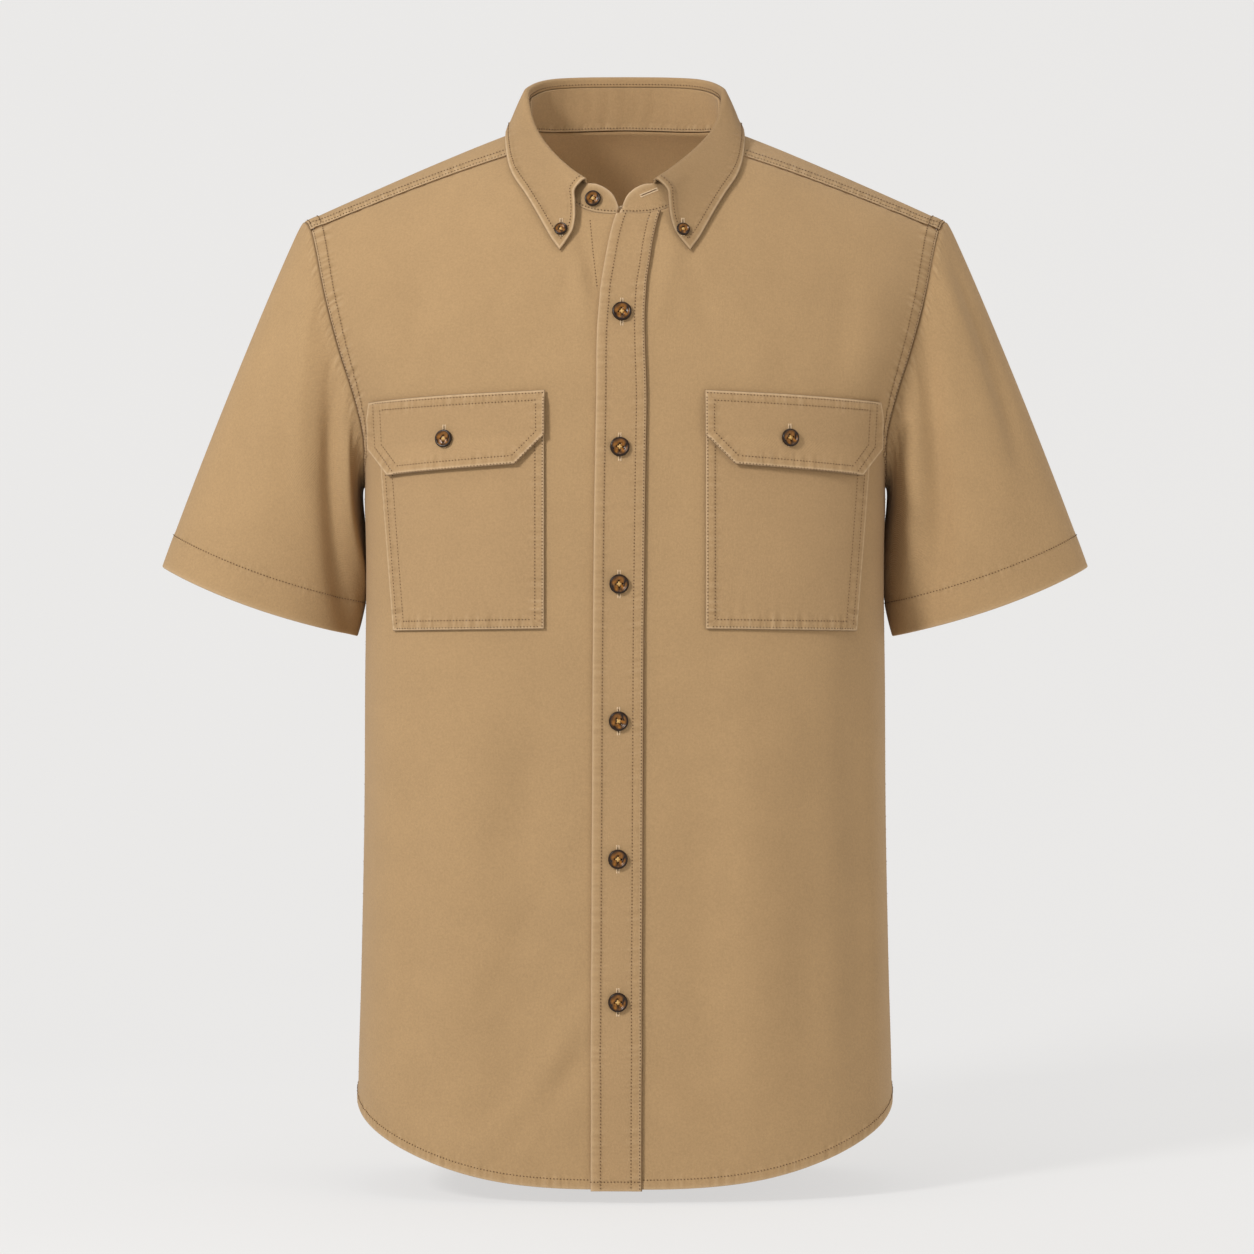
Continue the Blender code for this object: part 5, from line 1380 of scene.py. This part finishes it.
def noise(tree, place, scale, detail, **inputs):
    inputs = {key.title(): value for key, value in inputs.items()}
    made = node(tree, "TexNoise", {"Vector": place, "Scale": scale, "Detail": detail, **inputs})
    return made.outputs["Fac"]


def spread_out(tree, value, low, high, start=0.0, stop=1.0):
    """A value between start and stop brought to lie between low and high."""
    inputs = {"Value": value, "From Min": start, "From Max": stop, "To Min": low, "To Max": high}
    return node(tree, "MapRange", inputs).outputs[0]


def toned(tree, colour, tone):
    return node(tree, "VectorMath", {0: colour, "Scale": tone}, operation="SCALE").outputs[0]


def blend(tree, share, first, second):
    return node(tree, "Mix", {"A": first, "B": second, "Factor": share}, data_type="RGBA").outputs["Result"]


FLOAT, COLOUR, VECTOR = "NodeSocketFloat", "NodeSocketColor", "NodeSocketVector"


def make_weave_group():
    """Twill: slanting ribs, uneven yarn, mottled dye, pale edges of wear and painted highlight, and painted shade at
    seams.
    """
    floats = [(name, FLOAT) for name in ("Wear and highlight", "Shaded", "Drawn", "Run", "Mottle")]
    outputs = (("Colour", COLOUR), ("Height", FLOAT), ("Roughness", FLOAT))
    group, come, go = node_group(
        "khaki twill weave", [("Cut", VECTOR), ("Place", VECTOR), ("Cloth", COLOUR), *floats], outputs
    )
    given = come.outputs
    rib = node(group, "VectorMath", {0: given["Cut"], 1: (5200.0, 8800.0, 0.0)}, operation="DOT_PRODUCT")
    ribs = maths(group, "SINE", rib.outputs["Value"])
    stretched = node(group, "VectorMath", {0: given["Cut"], 1: (1.0, 0.22, 1.0)}, operation="MULTIPLY").outputs[0]
    yarn = noise(group, stretched, 900.0, 2.0)
    grain = noise(group, given["Place"], 620.0, 3.0, roughness=0.7)
    cloud = noise(group, given["Place"], 26.0, 4.0, roughness=0.6)
    rungs = node(group, "TexNoise", {"W": given["Run"], "Scale": 230.0, "Detail": 1.0}, noise_dimensions="1D")
    rungs = rungs.outputs["Fac"]
    height = maths(group, "MULTIPLY_ADD", ribs, 0.5, yarn)
    height = maths(group, "MULTIPLY_ADD", grain, 1.2, height)
    height = maths(group, "MULTIPLY_ADD", maths(group, "MULTIPLY", rungs, given["Drawn"]), 5.0, height)
    # Painted highlights on the pucker crests and painted shade in their hollows
    peak = spread_out(group, rungs, 0.0, 0.30, 0.5, 0.75)
    peak = maths(group, "MULTIPLY_ADD", peak, given["Drawn"], given["Wear and highlight"])
    valley = spread_out(group, rungs, 0.0, 0.45, 0.5, 0.25)
    valley = maths(group, "MULTIPLY_ADD", valley, given["Drawn"], given["Shaded"])
    grains = spread_out(group, grain, 0.92, 1.08, 0.3, 0.7)
    clouds = spread_out(group, cloud, -1.0, 1.0, 0.3, 0.7)
    dyed = toned(group, given["Cloth"], maths(group, "MULTIPLY_ADD", clouds, given["Mottle"], grains))
    # The pale colour stands for wear with painted highlight, the dark one for painted shade
    pale = blend(group, maths(group, "MULTIPLY", peak, 0.85, use_clamp=True), dyed, (0.60, 0.43, 0.26, 1.0))
    dark = blend(group, maths(group, "MULTIPLY", valley, 0.5, use_clamp=True), pale, (0.15, 0.085, 0.035, 1.0))
    feed(group, go, {"Colour": dark, "Height": height, "Roughness": spread_out(group, grain, 0.78, 0.96)})
    return group


def new_material(name):
    material = bpy.data.materials.new(name)
    material.use_nodes = True
    return material, material.node_tree, material.node_tree.nodes["Principled BSDF"]


def cloth_material(name, colour, mottle, weave):
    material, tree, shader = new_material(name)
    cut = node(tree, "UVMap", uv_map="cut")
    place = node(tree, "TexCoord")
    # Pale wear with painted highlight, painted shade and seam puckers, read back per point
    wear_and_painted_light = node(tree, "Attribute", attribute_name="wear_and_painted_light")
    split = node(tree, "SeparateColor", {"Color": wear_and_painted_light.outputs["Color"]}).outputs
    inputs = {"Cut": cut.outputs["UV"], "Place": place.outputs["Object"], "Cloth": (*colour, 1.0), "Mottle": mottle}
    inputs.update({"Wear and highlight": split["Red"], "Shaded": split["Green"], "Drawn": split["Blue"]})
    twill = node(tree, "Group", node_tree=weave)
    feed(tree, twill, {**inputs, "Run": wear_and_painted_light.outputs["Alpha"]})
    bump = node(tree, "Bump", {"Strength": 0.45, "Distance": 0.0004, "Height": twill.outputs["Height"]})
    feed(tree, shader, {"Base Color": twill.outputs["Colour"], "Roughness": twill.outputs["Roughness"]})
    feed(tree, shader, {"Normal": bump.outputs["Normal"], "Specular IOR Level": 0.18})
    feed(tree, shader, {"Sheen Weight": 0.08, "Sheen Roughness": 0.45})
    return material


def thread_material(name, colour, roughness):
    material, tree, shader = new_material(name)
    twist = noise(tree, node(tree, "TexCoord").outputs["Object"], 900.0, 2.0)
    dyed = toned(tree, colour, spread_out(tree, twist, 0.75, 1.25))
    feed(tree, shader, {"Base Color": dyed, "Roughness": roughness})
    return material


def horn_material():
    """Polished horn: dark brown with amber clouds that show most in the dish."""
    material, tree, shader = new_material("brown_horn_polished")
    dish = node(tree, "Attribute", attribute_name="dish")
    cloud = noise(tree, node(tree, "TexCoord").outputs["Object"], 150.0, 2.0, distortion=0.8)
    share = maths(tree, "MULTIPLY", spread_out(tree, cloud, 0.0, 1.0, 0.36, 0.60), dish.outputs["Fac"])
    colour = blend(tree, share, (0.016, 0.007, 0.003, 1.0), (0.33, 0.130, 0.018, 1.0))
    rough = spread_out(tree, cloud, 0.22, 0.36)
    feed(tree, shader, {"Base Color": colour, "Roughness": rough, "Specular IOR Level": 0.30})
    return material


# Studio


def make_studio():
    """A paper sweep; it is see-through from its back, so the shirt can be looked at from behind."""
    floor_z, bend_y, bend_radius, bend_steps = BACK_HEM_Z - 0.0012, 0.9, 1.6, 12
    profile = [(-2.6, floor_z), (bend_y, floor_z)]
    for i in range(1, bend_steps + 1):
        turn = math.pi / 2 * i / bend_steps
        profile.append((bend_y + bend_radius * math.sin(turn), floor_z + bend_radius * (1 - math.cos(turn))))
    profile.append((bend_y + bend_radius, floor_z + bend_radius + 3.2))
    points = [(x, y, z) for y, z in profile for x in (-5.0, 5.0)]
    faces = [(2 * i, 2 * i + 1, 2 * i + 3, 2 * i + 2) for i in range(len(profile) - 1)]
    mesh = bpy.data.meshes.new("studio_sweep")
    mesh.from_pydata(points, [], faces)
    mesh.shade_smooth()
    material, tree, shader = new_material("pale_paper")
    grain = noise(tree, node(tree, "TexCoord").outputs["Object"], 3.0, 3.0)
    paper = toned(tree, (0.22, 0.218, 0.216), spread_out(tree, grain, 0.97, 1.03))
    shown = maths(tree, "SUBTRACT", 1.0, node(tree, "NewGeometry").outputs["Backfacing"])
    feed(tree, shader, {"Base Color": paper, "Alpha": shown, "Roughness": 1.0, "Specular IOR Level": 0.0})
    feed(tree, shader, {"Emission Color": (0.995, 0.99, 0.985, 1.0), "Emission Strength": 0.62})
    mesh.materials.append(material)
    placed("studio_sweep", mesh)


def area_light(name, place, target, size, power, colour=(1, 1, 1)):
    data = bpy.data.lights.new(name, "AREA")
    data.shape, data.size, data.energy, data.color = "DISK", size, power, colour
    light = placed(name, data)
    light.location = place
    light.rotation_euler = (Vector(target) - Vector(place)).to_track_quat("-Z", "Y").to_euler()
    return light


# The photo's focal length and width, in its own pixels
PHOTO_FOCAL, PHOTO_SIZE, SENSOR_WIDTH = 4156, 1254, 36.0


def make_light_and_camera():
    scene = bpy.context.scene
    world = bpy.data.worlds.new("studio_air")
    world.use_nodes = True
    air = world.node_tree.nodes["Background"]
    feed(world.node_tree, air, {"Color": (1.0, 0.975, 0.945, 1.0), "Strength": 0.44})
    scene.world = world
    area_light("key", (-2.3, -2.5, 1.5), (0, 0, -0.30), 0.8, 102, (1.0, 0.99, 0.975))
    area_light("fill", (2.4, -2.4, 0.2), (0, 0, -0.40), 2.2, 17, (1.0, 0.89, 0.74))
    area_light("edge", (2.4, 0.7, 0.3), (0, 0, -0.40), 1.4, 9, (1.0, 0.96, 0.90))
    area_light("above", (0.1, -0.5, 2.3), (0, 0, 0.0), 1.4, 9)
    inside = area_light("inside", (0, -0.02, -0.30), (0, 0.03, 0.05), 0.12, 0.30, (1.0, 0.93, 0.84))
    inside.visible_camera = False
    scene.view_settings.view_transform = "Standard"
    camera_data = bpy.data.cameras.new("camera")
    camera_data.sensor_width = SENSOR_WIDTH
    camera_data.lens = PHOTO_FOCAL / PHOTO_SIZE * SENSOR_WIDTH
    camera = placed("camera", camera_data)
    camera.location = (0.0015, -3.2, -0.344)
    camera.rotation_euler = (math.pi / 2, 0, 0)
    scene.camera = camera


def make_cloth(body_cloth, patch_cloth, collar_cloth):
    make_front("front_right", -1, body_cloth)
    make_front("front_left", 1, body_cloth)
    make_back(body_cloth)
    make_yoke(body_cloth)
    make_sleeve("sleeve_right", -1, body_cloth)
    make_sleeve("sleeve_left", 1, body_cloth)
    make_collar_stand(collar_cloth)
    make_collar_leaf(collar_cloth)
    make_placket(patch_cloth)
    for name, side in (("right", -1), ("left", 1)):
        make_pocket("pocket_" + name, side, patch_cloth)
        make_flap("flap_" + name, side, patch_cloth)


def make_sewing(thread, edge_thread):
    armhole_lines, wide_lines = (EDGE_LINE, ARMHOLE_LINE), (EDGE_LINE, WIDE_LINE)
    pit = len(steps_between(ARMPIT_Z - FRONT_HEM_Z, FRONT_STEP, HEM_STEPS)) - 1
    for name in ("front_right", "front_left"):
        bars = edge_run(name, "bottom", HEM_LINE) + edge_runs(name, ("right",), armhole_lines, first=pit + 1)
        if name == "front_right":
            bars += stitched_run(*laid_line(name, UNDER_STRIP_LINE))
        thread_piece(name + "_stitches", bars, thread)
    pit = len(steps_between(ARMPIT_Z - BACK_HEM_Z, BACK_STEP, HEM_STEPS)) - 1
    bars = edge_run("back", "bottom", HEM_LINE)
    for edge in ("left", "right"):
        bars += edge_runs("back", (edge,), armhole_lines, first=pit + 1)
        bars += edge_runs("back", (edge,), wide_lines, last=pit)
    thread_piece("back_stitches", bars, thread)
    shoulder = len(steps_between(YOKE_REACH, YOKE_STEP, SEAM_STEPS[:9]))
    bars = []
    for line in wide_lines:
        bars += edge_runs("yoke", ("bottom", "top"), (line,))
        bars += edge_run("yoke", "right", line, first=shoulder, last=-shoulder)
    for line in armhole_lines:
        bars += edge_run("yoke", "right", line, last=shoulder) + edge_run("yoke", "right", line, first=-shoulder)
    thread_piece("yoke_stitches", bars, thread)
    for name in ("sleeve_right", "sleeve_left"):
        thread_piece(name + "_stitches", edge_run(name, "top", CUFF_LINE, proud=CUFF_THREAD_PROUD), thread)
    bars = edge_run("collar_stand", "bottom", EDGE_LINE)
    bars += edge_run("collar_stand", "bottom", EDGE_LINE, inside=STAND_PLY)
    thread_piece("collar_stand_stitches", bars, thread)
    bars = edge_run("collar_leaf", "top", LEAF_LINE, start_trim=0.005, end_trim=0.005)
    bars += edge_run("collar_leaf", "bottom", LEAF_SEAM_LINE)
    trims = {"start_trim": 0.001, "end_trim": 0.006}
    bars += edge_runs("collar_leaf", ("left", "right"), (LEAF_FRONT_LINE,), first=LEAF_ROLL_ROWS, **trims)
    thread_piece("collar_leaf_stitches", bars, thread)
    bars = edge_run("placket", "left", WIDE_LINE) + edge_runs("placket", ("right",), (PLACKET_LINE, EDGE_LINE))
    thread_piece("placket_stitches", bars + edge_run("placket", "top", HEM_LINE), thread)
    for side, wearer_side in (("right", -1), ("left", 1)):
        for name, bars_of in (("pocket_" + side, pocket_bars), ("flap_" + side, flap_bars)):
            thread_piece(name + "_stitches", bars_of(name, wearer_side), thread)
    holes = [("collar_stand", 0.0180, -0.0178, 0.0140, math.radians(24))]
    for row in BUTTON_ROWS:
        button = dict(zip(BUTTON_COLUMNS, row))
        carrier, x, z, size = (button[key] for key in ("carrier", "x", "z", "diameter"))
        if carrier == "placket":
            holes.append((carrier, x, z, size + 0.0058, math.pi / 2))
        elif carrier != "collar_stand":
            holes.append((carrier, x, z + 0.0020, size + 0.0032, math.pi / 2))
    bars, slits = [], []
    for carrier, x, z, length, tilt in holes:
        worked, slit = buttonhole(carrier, x, z, length, 0.0030, tilt)
        bars += worked
        slits += slit
    thread_piece("buttonholes", bars, edge_thread, 0.00028)
    # The slits are lines of dark thread standing for painted shade in the cut
    thread_piece("buttonhole_slit_shade", slits, thread, 0.00032)


WEAVE = make_weave_group()
BODY_CLOTH = cloth_material("khaki_twill_body", (0.420, 0.272, 0.136), 0.030, WEAVE)
PATCH_CLOTH = cloth_material("khaki_twill_patches", (0.415, 0.268, 0.135), 0.025, WEAVE)
COLLAR_CLOTH = cloth_material("khaki_twill_collar", (0.410, 0.265, 0.133), 0.025, WEAVE)
THREAD = thread_material("khaki_thread", (0.140, 0.078, 0.032), 0.8)
PALE_THREAD = thread_material("buttonhole_thread", (0.70, 0.53, 0.34), 0.7)
GOLD_THREAD = thread_material("button_thread", (0.62, 0.38, 0.12), 0.5)
HORN = horn_material()

make_cloth(BODY_CLOTH, PATCH_CLOTH, COLLAR_CLOTH)
make_sewing(THREAD, PALE_THREAD)
make_buttons(HORN, GOLD_THREAD)
make_studio()
make_light_and_camera()
